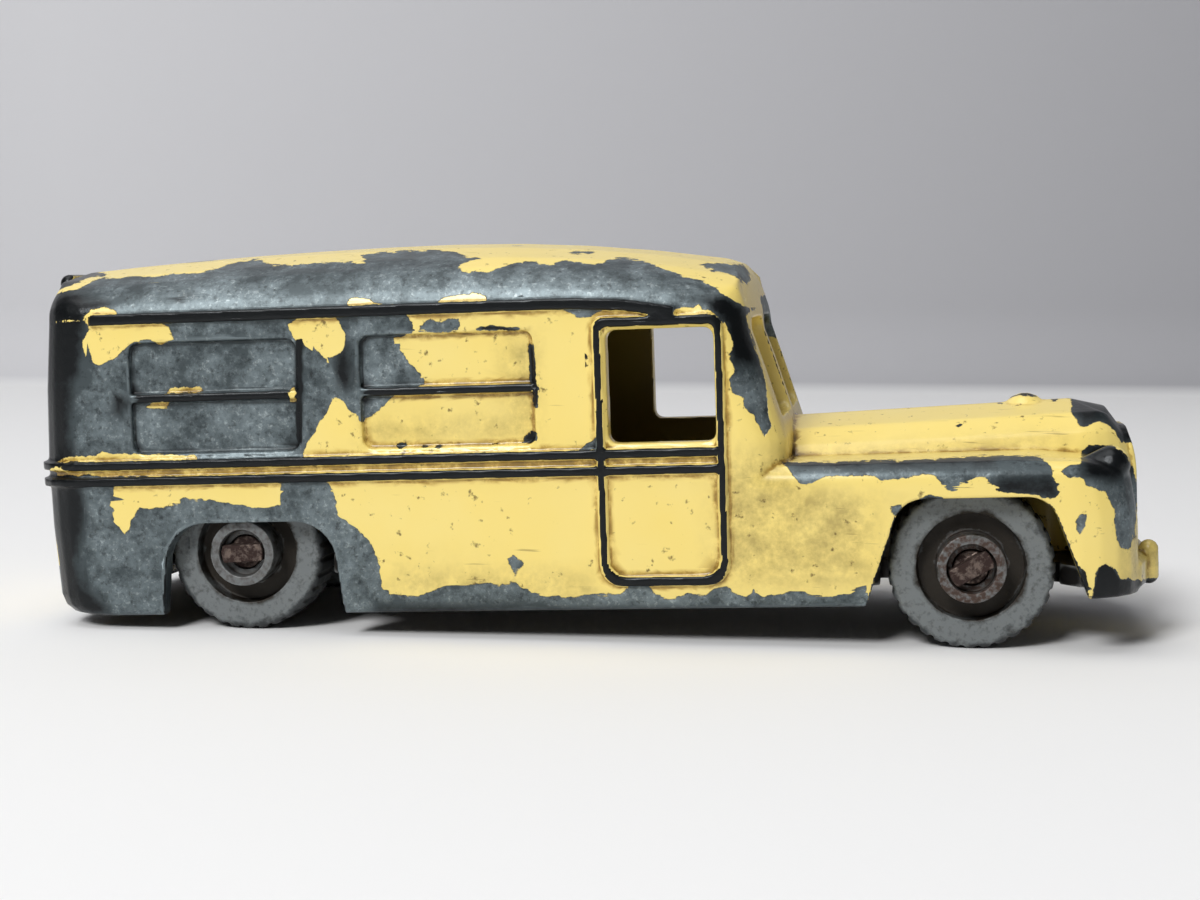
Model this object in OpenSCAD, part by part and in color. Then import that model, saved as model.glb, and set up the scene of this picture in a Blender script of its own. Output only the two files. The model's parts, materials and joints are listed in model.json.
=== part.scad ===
// Pocket die-cast toy ambulance: hollow body casting, base plate, two crimped axles and four metal wheels.
// Millimetres. The casting is drawn in its own frame, x forward from the rear face and heights above a datum,
// and then stands nose-up on its wheels. The finished part is centred on the origin with the floor at z = 0.

/* [Van body] */
// Width over the side panels
body_w = 17.2; // [16:0.1:19]
// Rear face to the foot of the windscreen
van_l = 34.65; // [33.5:0.05:37]
// Height of the lower edge of the side panels
sill_h = 1.45; // [1:0.05:2]
// Height of the belt line, midway between its two ribs
belt_h = 8; // [7.6:0.05:8.3]
// Height of the rain rail where the roof starts
rail_h = 15; // [14.6:0.05:15.6]
// Height of the roof at its highest point
roof_h = 17.95; // [17.4:0.05:19]
// Height of the roof at the rear
roof_rear_h = 17.3; // [16.6:0.05:17.9]
// Height of the roof above the windscreen
roof_front_h = 16.5; // [16:0.05:17.3]
// Highest point of the roof, from the rear face
roof_peak_x = 18; // [13:0.1:22]
// Fullness of the roof arch, 2 for an ellipse and more for a squarer shoulder
roof_fullness = 2.3; // [2:0.1:3]
// Thickness of the cast walls
wall = 0.95; // [0.7:0.05:1.1]
// Upright corners at the rear, radius
rear_corner_r = 2.3; // [1.4:0.1:3]
// Upright corners at the windscreen, radius
screen_corner_r = 1.7; // [1.2:0.1:2.4]
// How far the top of the rear face leans in
rear_bow = 0.4; // [0.1:0.05:0.7]
// Rounding of the lower edge at the rear
hem_r = 0.9; // [0.4:0.05:1.2]
// Rounding of the lower edge along the sides
sill_r = 0.25; // [0.1:0.05:0.4]
// Length of the rounding where the roof meets the rear face
roof_rear_round = 1.4; // [0.8:0.05:1.8]
// Length of the rounding where the roof meets the windscreen
roof_front_round = 1.25; // [0.6:0.05:1.6]

/* [Windscreen] */
// Lean of the windscreen from upright, degrees
screen_lean = 17; // [14:0.2:20]
// Height of the foot of the windscreen
cowl_h = 8.75; // [8.4:0.05:9]
// Width of each of the two panes
pane_w = 5.7; // [4.5:0.1:6]
// Height of the panes, measured up the slope
pane_l = 4.6; // [3.5:0.1:4.8]
// Width of the post between the panes
post_w = 0.95; // [0.6:0.05:1.4]
// Corner radius of the panes
pane_r = 0.6; // [0.3:0.05:1]
// Foot of the windscreen to the lower edge of the panes
pane_foot = 0.95; // [0.6:0.05:1.1]

/* [Raised lines] */
// Width of the raised lines
line_w = 0.36; // [0.25:0.01:0.5]
// How far the raised lines stand out
line_proud = 0.2; // [0.12:0.01:0.3]
// Height of the rain rail's own section
rail_w = 0.46; // [0.3:0.01:0.6]
// Start of the rain rail, from the rear face
rail_start_x = 3.3; // [2.6:0.05:4.5]
// Where the rain rail starts to bend down
rail_bend_x = 25.2; // [24:0.1:26.5]
// End of the rain rail
rail_end_x = 29.9; // [28:0.1:30.5]
// Radius of the bend in the rain rail
rail_bend_r = 22; // [18:0.5:40]
// Distance between the two belt ribs
belt_gap = 0.74; // [0.5:0.01:0.9]
// Diameter of the rain moulding over the rear doors
eave_d = 0.9; // [0.6:0.05:1.2]
// Length of the rain moulding over the rear doors
eave_l = 9.4; // [7:0.1:11]
// How far the rain moulding stands out from the roof's rear rounding
eave_out = 0.75; // [0.6:0.01:0.82]
// Drop of the rain moulding below the roof
eave_drop = 0.63; // [0.45:0.01:0.95]

/* [Door and side windows] */
// Rear edge of the door, from the rear face
door_x = 26.3; // [26:0.05:26.7]
// Width of the door over its outline
door_w = 5.65; // [4.9:0.05:5.75]
// Height of the foot of the door
door_foot_h = 2.55; // [2.2:0.05:3.5]
// Height of the head of the door
door_top_h = 14.3; // [13.6:0.05:14.4]
// Corner radius of the foot of the door outline
door_r = 0.95; // [0.6:0.05:1.3]
// Corner radius of the head of the door outline
door_head_r = 0.45; // [0.3:0.05:0.8]
// Height of the lower edge of the door window
door_window_h = 8.8; // [8.7:0.05:10]
// Corner radius of the door window
door_window_r = 0.4; // [0.2:0.05:0.7]
// Width of the lip behind and over the door window
door_lip = 0.16; // [0.05:0.01:0.4]
// Width of the lip in front of the door window
door_front_lip = 0.04; // [0.02:0.01:0.3]
// Rear edge of the rear side window, from the rear face
rear_window_x = 5; // [4:0.1:5.6]
// Rear edge of the middle side window, from the rear face
middle_window_x = 15.75; // [15:0.05:16.5]
// Width of the side windows
window_w = 7.85; // [6:0.05:8.4]
// Height of the lower edge of the side windows
window_foot_h = 8.85; // [8.7:0.05:10]
// Height of the upper edge of the side windows
window_top_h = 13.9; // [12.5:0.05:14.2]
// Corner radius of the side windows
window_r = 0.45; // [0.3:0.05:1]
// Depth of the window panels
window_depth = 0.3; // [0.15:0.05:0.5]

/* [Rear doors] */
// Width over the pair of rear doors
rear_doors_w = 11.5; // [9:0.1:12]
// Width of each rear window
rear_pane_w = 4.3; // [3:0.1:4.6]
// Height of each rear window
rear_pane_l = 4.2; // [3:0.1:4.6]

/* [Bonnet and wings] */
// Foot of the windscreen to the nose
bonnet_l = 15.15; // [14.6:0.05:17]
// Width of the bonnet at the windscreen
bonnet_w = 10.6; // [9:0.1:12]
// Width of the bonnet at the nose
nose_w = 8.2; // [7:0.1:9]
// Height of the bonnet at the windscreen
bonnet_rear_h = 9.3; // [9.1:0.05:9.8]
// Height of the bonnet behind the nose
bonnet_nose_h = 9.75; // [9.5:0.05:10.2]
// Height at which the bonnet's rounding starts
bonnet_base_h = 6.4; // [6:0.05:6.8]
// Fullness of the bonnet arch
bonnet_fullness = 2.4; // [2:0.1:3]
// Rounding of the nose, seen from the side
nose_round = 2.1; // [1.6:0.1:3.4]
// Rounding of the nose, seen from above
nose_r = 2.6; // [1.8:0.1:3.2]
// Height of the wings
wing_h = 7.75; // [7.5:0.05:7.9]
// Height of the wings' middle, where their front stands upright
wing_waist_h = 4.85; // [4.4:0.05:5.4]
// Rounding of the wings' upper edge
wing_round = 0.95; // [0.7:0.05:1.3]
// Thickness of the wings' top
wing_top_t = 0.75; // [0.5:0.05:0.9]
// How far the wings stay behind the nose
wing_back = 0.15; // [0.1:0.05:0.6]
// How far the wings' front leans back above its middle
wing_lean = 0.3; // [0.1:0.05:0.5]
// Rounding of the wings' front corners, seen from above
wing_corner_r = 2.6; // [2:0.1:3]
// Rounding of the wings' front, seen from the side
wing_nose = 1.8; // [1.2:0.1:2.6]
// How far the wings fall at the front
wing_fall = 0.7; // [0.3:0.05:1]
// Length over which the wings fall
wing_fall_l = 4.6; // [3:0.1:6]
// Thickness of the front panel
front_wall = 1.2; // [0.9:0.05:1.6]
// Nose to the middle of the cap on the bonnet
cap_back = 4.65; // [4:0.05:6]
// Length of the cap on the bonnet
cap_l = 2.3; // [1.8:0.05:2.8]
// How far the cap stands above the bonnet
cap_up = 0.38; // [0.2:0.02:0.6]

/* [Grille, lamps and bumper] */
// Width of the grille
grille_w = 5; // [4:0.1:5.6]
// Height of the grille's foot
grille_foot_h = 4.1; // [3.8:0.05:4.6]
// Height of the grille's head
grille_top_h = 8.5; // [7.8:0.05:8.8]
// Corner radius of the grille
grille_r = 1.2; // [0.8:0.05:1.5]
// Number of upright bars
grille_bars = 7; // [5:1:9]
// Width of a bar
bar_w = 0.3; // [0.2:0.01:0.4]
// Diameter of the headlamps
lamp_d = 1.65; // [1.3:0.05:2]
// Length of the headlamps with their tails
lamp_l = 3.3; // [2.4:0.1:4]
// Height of the headlamps
lamp_h = 7.25; // [7:0.05:7.5]
// Diameter of the tip of the headlamps' tails
lamp_tip_d = 0.42; // [0.3:0.02:0.6]
// How far the tails fall to their tips
lamp_tip_drop = 0.4; // [0.2:0.05:0.6]
// Distance between the headlamps
lamp_gap = 13.6; // [12.6:0.1:14]
// How far the lamps' glasses stay behind the nose
lamp_back = 0.6; // [0.1:0.05:0.8]
// Height of the bumper's lower edge
bumper_foot_h = 1.65; // [1.5:0.05:1.9]
// Height of the bumper's section
bumper_l = 1.55; // [1.2:0.05:2]
// Width of the bumper
bumper_w = 16.6; // [15:0.1:17]
// How far the bumper stands in front of the nose
bumper_reach = 0.6; // [0.3:0.05:1.2]
// How far the bumper's ends run back
bumper_run = 2.9; // [2:0.1:3.4]
// Bow of the bumper, seen from above
bumper_bow = 0.9; // [0.3:0.05:1.2]
// Rounding of the bumper's edges
bumper_r = 0.3; // [0.15:0.05:0.5]
// Diameter of the overriders
overrider_d = 0.9; // [0.6:0.05:1.2]
// Distance between the overriders
overrider_gap = 8.4; // [6:0.1:10]
// How far the overriders stand in front of the bumper
overrider_out = 0.22; // [0.1:0.01:0.4]
// How far the overriders rise above the bumper
overrider_up = 0.45; // [0.2:0.05:0.8]

/* [Wheel arches] */
// Height of the rear arches
rear_arch_h = 5.65; // [5.3:0.05:6]
// Width of the rear arches at the foot
rear_arch_foot = 8.55; // [8:0.05:9]
// Width of the rear arches below their rounding
rear_arch_head = 8; // [7.4:0.05:8.2]
// Upper corner radius of the rear arches
rear_arch_r = 1.9; // [1.2:0.05:2.6]
// Middle of the rear arches, in front of the axle
rear_arch_off = 0.55; // [0:0.05:0.9]
// Height of the front arches
front_arch_h = 6.1; // [5.7:0.05:6.3]
// Width of the front arches at the foot
front_arch_foot = 9.5; // [9:0.05:10]
// Width of the front arches below their rounding
front_arch_head = 7; // [6.4:0.05:7.6]
// Upper corner radius of the front arches
front_arch_r = 1.3; // [0.8:0.05:2]
// Middle of the front arches, in front of the axle
front_arch_off = 0.2; // [0:0.05:0.5]

/* [Wheels and axles] */
// Diameter of the wheels
wheel_d = 7.2; // [6.8:0.05:7.6]
// Width of the tyre
tyre_w = 2.5; // [2:0.05:2.8]
// Diameter of the hub collar
hub_d = 3; // [2.8:0.05:3.4]
// How far the hub collar stands out from the tyre
hub_out = 0.7; // [0.5:0.05:0.85]
// How far the hub stands out on the inside
hub_in = 0.2; // [0.1:0.05:0.4]
// Diameter of the dish around the hub
dish_d = 4.7; // [4.2:0.05:5.4]
// Depth of the dish
dish_depth = 0.75; // [0.4:0.05:0.9]
// Rounding of the tyre's edges
tyre_r = 0.3; // [0.15:0.05:0.5]
// Number of tread notches
tread_n = 32; // [20:4:48]
// Depth of the tread notches
tread_depth = 0.12; // [0.06:0.01:0.2]
// Width of the tread notches
tread_w = 0.26; // [0.15:0.01:0.35]
// Gap between the tyre and the inside of the wall
wheel_gap = 0.25; // [0.2:0.05:0.4]
// Gap round the wheels inside the casting
well_gap = 0.3; // [0.25:0.05:0.4]
// Side play between the hub and the axle tube
side_play = 0.2; // [0.15:0.05:0.3]
// Diameter of the axle rods
axle_d = 1.5; // [1.2:0.05:1.7]
// Running clearance of the axles, all round
run_gap = 0.05; // [0.03:0.01:0.08]
// Width of the crimped axle ends
crimp_w = 1.95; // [1.8:0.05:2.1]
// Thickness of the crimped axle ends
crimp_t = 0.8; // [0.6:0.05:1]
// Depth of the hub's counterbore, which holds the crimp
crimp_l = 0.6; // [0.4:0.05:0.8]
// Room round the crimp in the counterbore
crimp_gap = 0.1; // [0.05:0.01:0.15]
// Rear face to the rear axle
rear_axle_x = 9.7; // [9.3:0.05:10.2]
// Height of the rear axle in the casting
rear_axle_h = 4.19; // [4:0.01:4.4]
// Distance between the axles
wheelbase = 32.66; // [32.2:0.02:33]
// How far the casting stands nose-up, degrees
nose_up = 2.14; // [1:0.02:3]

/* [Base plate] */
// Thickness of the base plate
plate_t = 0.9; // [0.7:0.05:1.2]
// Underside of the base plate below the axle centres
plate_drop = 1; // [0.8:0.05:1.2]
// Gap round the base plate
plate_gap = 0.2; // [0.15:0.05:0.35]
// Outside diameter of the axle tubes
tube_d = 2.6; // [2.3:0.05:3]
// Width of the base plate's ends
plate_end_w = 12; // [9:0.1:12.6]
// Corner chamfer of the base plate
plate_chamfer = 0.8; // [0.4:0.05:1.2]
// Diameter of the rivet posts
boss_d = 3; // [2.8:0.1:3.4]
// Diameter of the rivet studs
stud_d = 1.7; // [1.4:0.05:1.9]
// Diameter of the peened rivet heads
head_d = 2.7; // [2.5:0.05:3]
// Thickness of the peened rivet heads
head_t = 0.4; // [0.3:0.05:0.5]
// Room between the rivets and the base plate
rivet_gap = 0.04; // [0.02:0.01:0.08]
// Room round the rivet studs
stud_gap = 0.1; // [0.05:0.01:0.2]
// Rear axle back to the rear rivet
rear_rivet = 5.4; // [5.2:0.1:5.8]
// Front axle forward to the front rivet
front_rivet = 3.7; // [3.5:0.05:3.9]

/* [Hidden] */

// Smallest corner radius left on an outline, and half width of the strip along a crown
least_r = 0.05;
crown_half = 0.3;
// Bow of a plan's ends, as a share of its half width
end_bow = 0.012;
// Overlap of pieces that are cut or joined
eps = 0.01;
// Length that runs well past the casting, for cuts, and one that runs past a single wall
past = 3 * body_w;
past_wall = 4 * wall;
// How far the bonnet runs back into the van body
bonnet_tuck = 2 * wall;
// Turn of the crimped axle ends, right and left, degrees
front_crimps = [30, -12];
rear_crimps = [4, 48];

// Facets of a full turn, from the lamps' tips to the tyres
tip_fn = 10;
moulding_fn = 12;
outline_fn = 16;
lamp_fn = 16;
cap_fn = 18;
stud_fn = 24;
post_fn = 28;
arch_fn = 28;
well_fn = 48;
turned_fn = 48;
tyre_fn = 96;
tyre_edge_fn = 32;

// Steps of a skin along half an end, round a corner and along a side
van_steps = [5, 5, 9];
hollow_steps = [3, 3, 6];
bonnet_steps = [4, 5, 6];
wing_steps = [3, 5, 5];
bumper_steps = [5, 5, 2];
// Rows of a dome from its edge to its crown
roof_rows = 9;
bonnet_rows = 6;
wing_rows = 6;
hollow_rows = 5;
// How much the rows of a dome crowd towards its edge, 1 for even turns
crowding = 0.36;
// Share of a dome's width within which its ends have risen to the crown
end_share = 0.8;
// Angles of the rows round a lower edge
hem_turns = [0, 30, 60, 90];

half_w = body_w / 2;
wheel_r = wheel_d / 2;
nose_x = van_l + bonnet_l;
wing_front_x = nose_x - wing_back;
wing_base_h = wing_h - wing_round;
bumper_front_x = nose_x + bumper_reach;

// Corners of the door, seen from the side
door_a = [door_x, door_foot_h];
door_b = [door_x + door_w, door_top_h];

// Places across the car, from the middle plane
tyre_face_y = half_w - wall - wheel_gap;
hub_face_y = tyre_face_y + hub_out;
hub_back_y = tyre_face_y - tyre_w - hub_in;
tube_end_y = hub_back_y - side_play;

// Front axle in the casting's frame, and the axles on the floor
front_axle_x = rear_axle_x + wheelbase * cos(nose_up);
eave_h = rear_crown() - eave_drop;
eave_x = rear_edge(eave_h) + eave_d / 2 - eave_out;
overrider_x = bumper_front_x + overrider_out - overrider_d / 2;
tail_end = along(eave_x, eave_h) - eave_d / 2;
nose_end = along(overrider_x, bumper_foot_h + bumper_l) + overrider_d / 2;
rear_x = -(tail_end + nose_end) / 2;
front_x = rear_x + wheelbase;
rear_rivet_x = rear_x - rear_rivet;
front_rivet_x = front_x + front_rivet;

// Base plate levels
plate_z = wheel_r - plate_drop;
plate_top_z = plate_z + plate_t;

// On the floor, for a point of the casting: distance forward of the rear axle, and height
function along(x, h) = (x - rear_axle_x) * cos(nose_up) - (h - rear_axle_h) * sin(nose_up);
function above(x, h) = wheel_r + (x - rear_axle_x) * sin(nose_up) + (h - rear_axle_h) * cos(nose_up);
// Top of a rivet post, halfway into the wall whose outside has height h at x
function post_top(x, h) = above(x, h - wall / 2);

// Lines of the casting, seen from the side
function rear_face(h) = rear_bow * ((h - belt_h) / (rail_h - belt_h)) ^ 2;
function rear_edge(h) = h < rail_h
    ? rear_face(h)
    : rear_bow + roof_rear_round * (1 - sqrt(1 - ((h - rail_h) / (rear_crown() - rail_h)) ^ 2));
function rear_crown() = roof(rear_bow + roof_rear_round / 2);
function screen(h) = van_l - max(0, h - cowl_h) * tan(screen_lean);
function rail_fall(x) = rail_bend_r - sqrt(rail_bend_r ^ 2 - max(0, x - rail_bend_x) ^ 2);
function rail(x) = rail_h - rail_fall(x);
screen_top_x = screen(rail(screen(rail_h)));
function roof(x) = x < roof_peak_x
    ? roof_h - (roof_h - roof_rear_h) * ((roof_peak_x - x) / roof_peak_x) ^ 2
    : roof_h - (roof_h - roof_front_h) * ((x - roof_peak_x) / (screen_top_x - roof_peak_x)) ^ 2;
function bonnet(x) = bonnet_rear_h + (bonnet_nose_h - bonnet_rear_h) * (x - van_l) / (bonnet_l - nose_round);
function wing(x) = wing_h - wing_fall * (max(0, x - wing_front_x + wing_fall_l) / wing_fall_l) ^ 2;
function bonnet_share(x) = 1 - (1 - nose_w / bonnet_w) * max(0, x - van_l) / bonnet_l;

// Rise of a rounded edge: 0 at the edge, 1 where the rounding has run out
function rounding(t, power) = t >= 1 ? 1 : (1 - (1 - max(0, t)) ^ power) ^ (1 / power);

// Half outline of a plan with bowed ends and rounded corners, from the middle of the rear to the front's
// n: steps along half an end, round a corner and along a side
function half_plan(x0, x1, half, r0, r1, n) =
    let (
        bow = end_bow * half,
        side0 = x0 + bow + r0,
        side1 = x1 - bow - r1
    )
    concat(
        [for (i = [0:n[0] - 1]) [x0 + bow * (i / n[0]) ^ 2, -(half - r0) * i / n[0]]],
        [for (i = [0:n[1]]) [side0 - r0 * cos(90 * i / n[1]), r0 - half - r0 * sin(90 * i / n[1])]],
        [for (i = [1:n[2] - 1]) [side0 + (side1 - side0) * i / n[2], -half]],
        [for (i = [0:n[1]]) [side1 + r1 * sin(90 * i / n[1]), r1 - half - r1 * cos(90 * i / n[1])]],
        [for (i = [n[0] - 1:-1:0]) [x1 - bow * (i / n[0]) ^ 2, -(half - r1) * i / n[0]]]
    );

// A half outline at one height
function level(h, x0, x1, half, r0, r1, n) = [for (p = half_plan(x0, x1, half, r0, r1, n)) [p.x, p.y, h]];

// Rows of a dome over a plan [rear, front, half width, rear radius, front radius]
// side: width of the rounding along the sides; ends: its length at the rear and the front
// base and top: heights along x
function dome(plan, side, power, ends, base, top, rows, n) = [
    for (i = [0:rows])
    let (
        u = 90 * i / rows,
        s = 1 - cos(atan2(crowding * sin(u), cos(u))),
        d = (plan[2] - crown_half) * s,
        e = s / end_share * ends,
        h = plan[2] - d,
        r = [max(plan[3] - d, least_r), max(plan[4] - d, least_r)]
    )
    [
        for (q = half_plan(plan[0] + e[0], plan[1] - e[1], h, r[0], r[1], n))
        let (
            f = 2 * q.x > plan[0] + plan[1] ? 1 : 0,
            y = abs(q.y),
            turn = (max(0, y - h + r[f]) / r[f]) ^ 2,
            over_end = rounding(e[f] / ends[f], 2) * rounding((plan[2] - min(y, h - r[f])) / side, power),
            over_side = rounding(d / side, power),
            share = over_end + (over_side - over_end) * turn
        )
        [q.x, q.y, base(q.x) + (top(q.x) - base(q.x)) * share]
    ]
];

// Closed skin through a stack of half outlines, mirrored across the middle plane
module skin(halves) {
    m = len(halves[0]);
    n = 2 * m - 2;
    last = len(halves) - 1;
    function at(k, i) = k * n + (i + n) % n;
    points = [for (h = halves) each concat(h, [for (i = [m - 2:-1:1]) [h[i].x, -h[i].y, h[i].z]])];
    sides = [
        for (k = [0:last - 1]) for (i = [0:n - 1])
        each [[at(k, i), at(k + 1, i), at(k + 1, i + 1)], [at(k, i), at(k + 1, i + 1), at(k, i + 1)]]
    ];
    caps = [
        for (i = [0:m - 3])
        each [
            [at(0, i), at(0, i + 1), at(0, -i - 1)],
            [at(0, i + 1), at(0, -i - 2), at(0, -i - 1)],
            [at(last, i), at(last, -i - 1), at(last, i + 1)],
            [at(last, i + 1), at(last, -i - 1), at(last, -i - 2)]
        ]
    ];
    polyhedron(points, concat(sides, caps), convexity = 8);
}

// Van body, grown outwards by g
module van_form(g = 0) {
    n = van_steps;
    hem = [
        for (a = hem_turns)
        let (h = sill_h + hem_r * (1 - cos(a)), in = 1 - sin(a))
        level(
            h, rear_face(h) + hem_r * in - g, van_l + g, half_w - sill_r * in + g,
            rear_corner_r, screen_corner_r, n
        )
    ];
    sides = [
        for (h = [(sill_h + hem_r + cowl_h) / 2, cowl_h, (cowl_h + rail_h) / 2])
        level(h, rear_face(h) - g, screen(h) + g, half_w + g, rear_corner_r, screen_corner_r, n)
    ];
    plan = [rear_bow - g, screen_top_x + g, half_w + g, rear_corner_r, screen_corner_r];
    ends = [roof_rear_round, roof_front_round];
    crown = function (x) roof(x) + g;
    top = dome(plan, plan[2], roof_fullness, ends, function (x) rail(x), crown, roof_rows, n);
    skin(concat(hem, sides, top));
}

// Hollow of the van body
module van_hollow() {
    n = hollow_steps;
    r = [rear_corner_r - wall, screen_corner_r - wall];
    half = half_w - wall;
    x0 = rear_bow + wall;
    sides = [
        for (h = [-sill_h, cowl_h])
        level(h, x0, screen(h) - wall, half, r[0], r[1], n)
    ];
    plan = [x0, screen_top_x - wall, half, r[0], r[1]];
    ends = [roof_rear_round, roof_front_round];
    crown = function (x) roof(x) - wall;
    top = dome(plan, half, roof_fullness, ends, function (x) rail(x), crown, hollow_rows, n);
    skin(concat(sides, top));
}

// Bonnet and nose, grown outwards by g, from a given foot
module bonnet_form(g = 0, foot = grille_foot_h - wall) {
    n = bonnet_steps;
    half = bonnet_w / 2 + g;
    plan = [van_l - bonnet_tuck, nose_x + g, half, least_r, nose_r];
    low = level(foot, plan[0], plan[1], half, plan[3], plan[4], n);
    base = function (x) bonnet_base_h;
    crown = function (x) bonnet(x) + g;
    top = dome(plan, half, bonnet_fullness, [eps, nose_round], base, crown, bonnet_rows, n);
    skin([for (ring = concat([low], top)) [for (p = ring) [p.x, p.y * bonnet_share(p.x), p.z]]]);
}

// Wings in one block, taken in by t on the sides and front and by top_t above, from a given foot
module wing_form(t = 0, front_t = 0, top_t = 0, foot = sill_h) {
    n = wing_steps;
    half = half_w - t;
    x0 = door_x + door_w + wall;
    x1 = wing_front_x - front_t;
    r = wing_corner_r - t;
    hem = [
        for (a = hem_turns)
        let (in = sill_r * (1 - sin(a)), up = hem_r * (1 - cos(a)))
        [
            for (p = half_plan(x0, x1, half - in, least_r, r, n))
            [p.x, p.y, up + foot + (p.x > front_axle_x ? bumper_foot_h - sill_h : 0)]
        ]
    ];
    waist = level(wing_waist_h, x0, x1, half, least_r, r, n);
    plan = [x0, x1 - wing_lean, half, least_r, r];
    base = function (x) wing_base_h - top_t;
    crown = function (x) wing(x) - top_t;
    top = dome(plan, wing_round, 2, [eps, wing_nose], base, crown, wing_rows, n);
    skin(concat(hem, [waist], top));
}

module bumper_form() {
    n = bumper_steps;
    x0 = nose_x - bumper_run;
    half = bumper_w / 2;
    rings = [
        for (k = [[0, bumper_r], [bumper_r, 0], [bumper_l - bumper_r, 0], [bumper_l, bumper_r]])
        level(bumper_foot_h + k[0], x0, bumper_front_x - k[1], half - k[1], least_r, wing_corner_r, n)
    ];
    skin([for (ring = rings) [for (p = ring) [p.x - bumper_bow * (p.y / half) ^ 2, p.y, p.z]]]);
    r = overrider_d / 2;
    for (side = [-1, 1])
        hull()
            for (h = [bumper_foot_h + r, bumper_foot_h + bumper_l + overrider_up - r])
                translate([overrider_x, side * overrider_gap / 2, h]) sphere(r, $fn = moulding_fn);
}

module headlamps() {
    r = lamp_d / 2;
    front = nose_x - lamp_back - r;
    for (side = [-1, 1])
        translate([front, side * lamp_gap / 2, lamp_h])
            hull() {
                sphere(r, $fn = lamp_fn);
                translate([r + lamp_tip_d / 2 - lamp_l, 0, -lamp_tip_drop])
                    sphere(d = lamp_tip_d, $fn = tip_fn);
            }
}

module bonnet_cap() {
    x = nose_x - cap_back;
    translate([x, 0, bonnet(x) + cap_up - cap_l / 2]) sphere(d = cap_l, $fn = cap_fn);
}

// Rounded rectangle from corner to corner, whose upper corners may have a radius of their own
module rounded(a, b, r, head_r = 0) {
    head = head_r > 0 ? head_r : r;
    hull()
        for (end = [[a.y + r, r], [b.y - head, head]], x = [a.x + end[1], b.x - end[1]])
            translate([x, end[0]]) circle(end[1], $fn = outline_fn);
}

// A flat shape in the side view, run across the casting
module across(w = past) {
    rotate([90, 0, 0]) linear_extrude(w, center = true) children();
}

// A flat shape in the rear view, run forward from behind the casting to a given depth
module from_rear(depth) {
    translate([depth, 0, 0]) rotate([90, 0, -90]) linear_extrude(past) children();
}

module side_lines() {
    steps = 12;
    rail_run = [for (i = [0:steps]) rail_start_x + (rail_end_x - rail_start_x) * i / steps];
    polygon(concat(
        [for (x = rail_run) [x, rail(x) - rail_w / 2]],
        [for (i = [steps:-1:0]) [rail_run[i], rail(rail_run[i]) + rail_w / 2]]
    ));
    for (side = [-1, 1])
        translate([-past, belt_h + side * belt_gap / 2 - line_w / 2]) square([past + door_b.x, line_w]);
    difference() {
        rounded(door_a, door_b, door_r, door_head_r);
        rounded(
            door_a + [line_w, line_w], door_b - [line_w, line_w], door_r - line_w / 2, door_head_r - line_w / 2
        );
    }
}

module rear_lines() {
    a = [-rear_doors_w / 2, door_foot_h];
    b = [rear_doors_w / 2, door_top_h];
    difference() {
        rounded(a, b, door_r);
        rounded(a + [line_w, line_w], b - [line_w, line_w], door_r - line_w / 2);
    }
    translate([-line_w / 2, door_foot_h]) square([line_w, door_top_h - door_foot_h]);
}

// Raised lines follow the skin: a grown copy of it, kept only where the lines run
module raised_lines() {
    intersection() {
        van_form(line_proud);
        union() {
            across() side_lines();
            from_rear(rear_corner_r / 2) rear_lines();
        }
    }
    translate([eave_x, 0, eave_h]) rotate([90, 0, 0])
        hull()
            for (side = [-1, 1])
                translate([0, 0, side * (eave_l - eave_d) / 2]) sphere(d = eave_d, $fn = moulding_fn);
}

module grille() {
    inner = grille_w - 2 * line_w;
    pitch = inner / (grille_bars + 1);
    intersection() {
        bonnet_form(line_proud);
        translate([nose_x - nose_round, 0, 0]) rotate([90, 0, 90])
            linear_extrude(past) {
                difference() {
                    grille_outline(0);
                    grille_outline(line_w);
                }
                intersection() {
                    grille_outline(line_w / 2);
                    for (i = [1:grille_bars])
                        translate([i * pitch - inner / 2 - bar_w / 2, 0]) square([bar_w, past]);
                }
            }
    }
}

module grille_outline(in) {
    half = grille_w / 2 - in;
    rounded([-half, grille_foot_h + in], [half, grille_top_h - in], grille_r - in);
}

// Side windows: two panels each, with the rail between them left standing
module side_windows() {
    middle = (window_foot_h + window_top_h) / 2;
    for (side = [-1, 1], x = [rear_window_x, middle_window_x])
        translate([0, side * (half_w + past / 2 - window_depth), 0])
            across()
                difference() {
                    rounded([x, window_foot_h], [x + window_w, window_top_h], window_r);
                    translate([x, middle - line_w / 2]) square([window_w, line_w]);
                }
}

module rear_windows() {
    foot = belt_h + belt_gap + line_w;
    for (side = [-1, 1])
        from_rear(rear_bow / 2 + window_depth)
            translate([side * (rear_pane_w / 2 + line_w), foot])
                rounded([-rear_pane_w / 2, 0], [rear_pane_w / 2, rear_pane_l], window_r);
}

module door_windows() {
    in = line_w + door_lip;
    across() rounded([door_a.x + in, door_window_h], door_b - [line_w + door_front_lip, in], door_window_r);
}

module windscreen_panes() {
    for (side = [-1, 1])
        translate([van_l, 0, cowl_h]) rotate([0, -screen_lean, 0]) translate([-past_wall / 2, 0, 0])
            rotate([90, 0, 90]) linear_extrude(past_wall)
                translate([side * (post_w + pane_w) / 2, pane_foot])
                    rounded([-pane_w / 2, 0], [pane_w / 2, pane_l], pane_r);
}

module arch(x, top, foot, head, r) {
    translate([x, 0, 0]) across()
        hull() {
            for (side = [-1, 1])
                translate([side * (head / 2 - r), top - r]) circle(r, $fn = arch_fn);
            translate([-foot / 2, -sill_h]) square([foot, 2 * sill_h]);
        }
}

// Stands a piece of the casting on its wheels
module on_wheels() {
    translate([rear_x, 0, wheel_r]) rotate([0, -nose_up, 0])
        translate([-rear_axle_x, 0, -rear_axle_h]) children();
}

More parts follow.
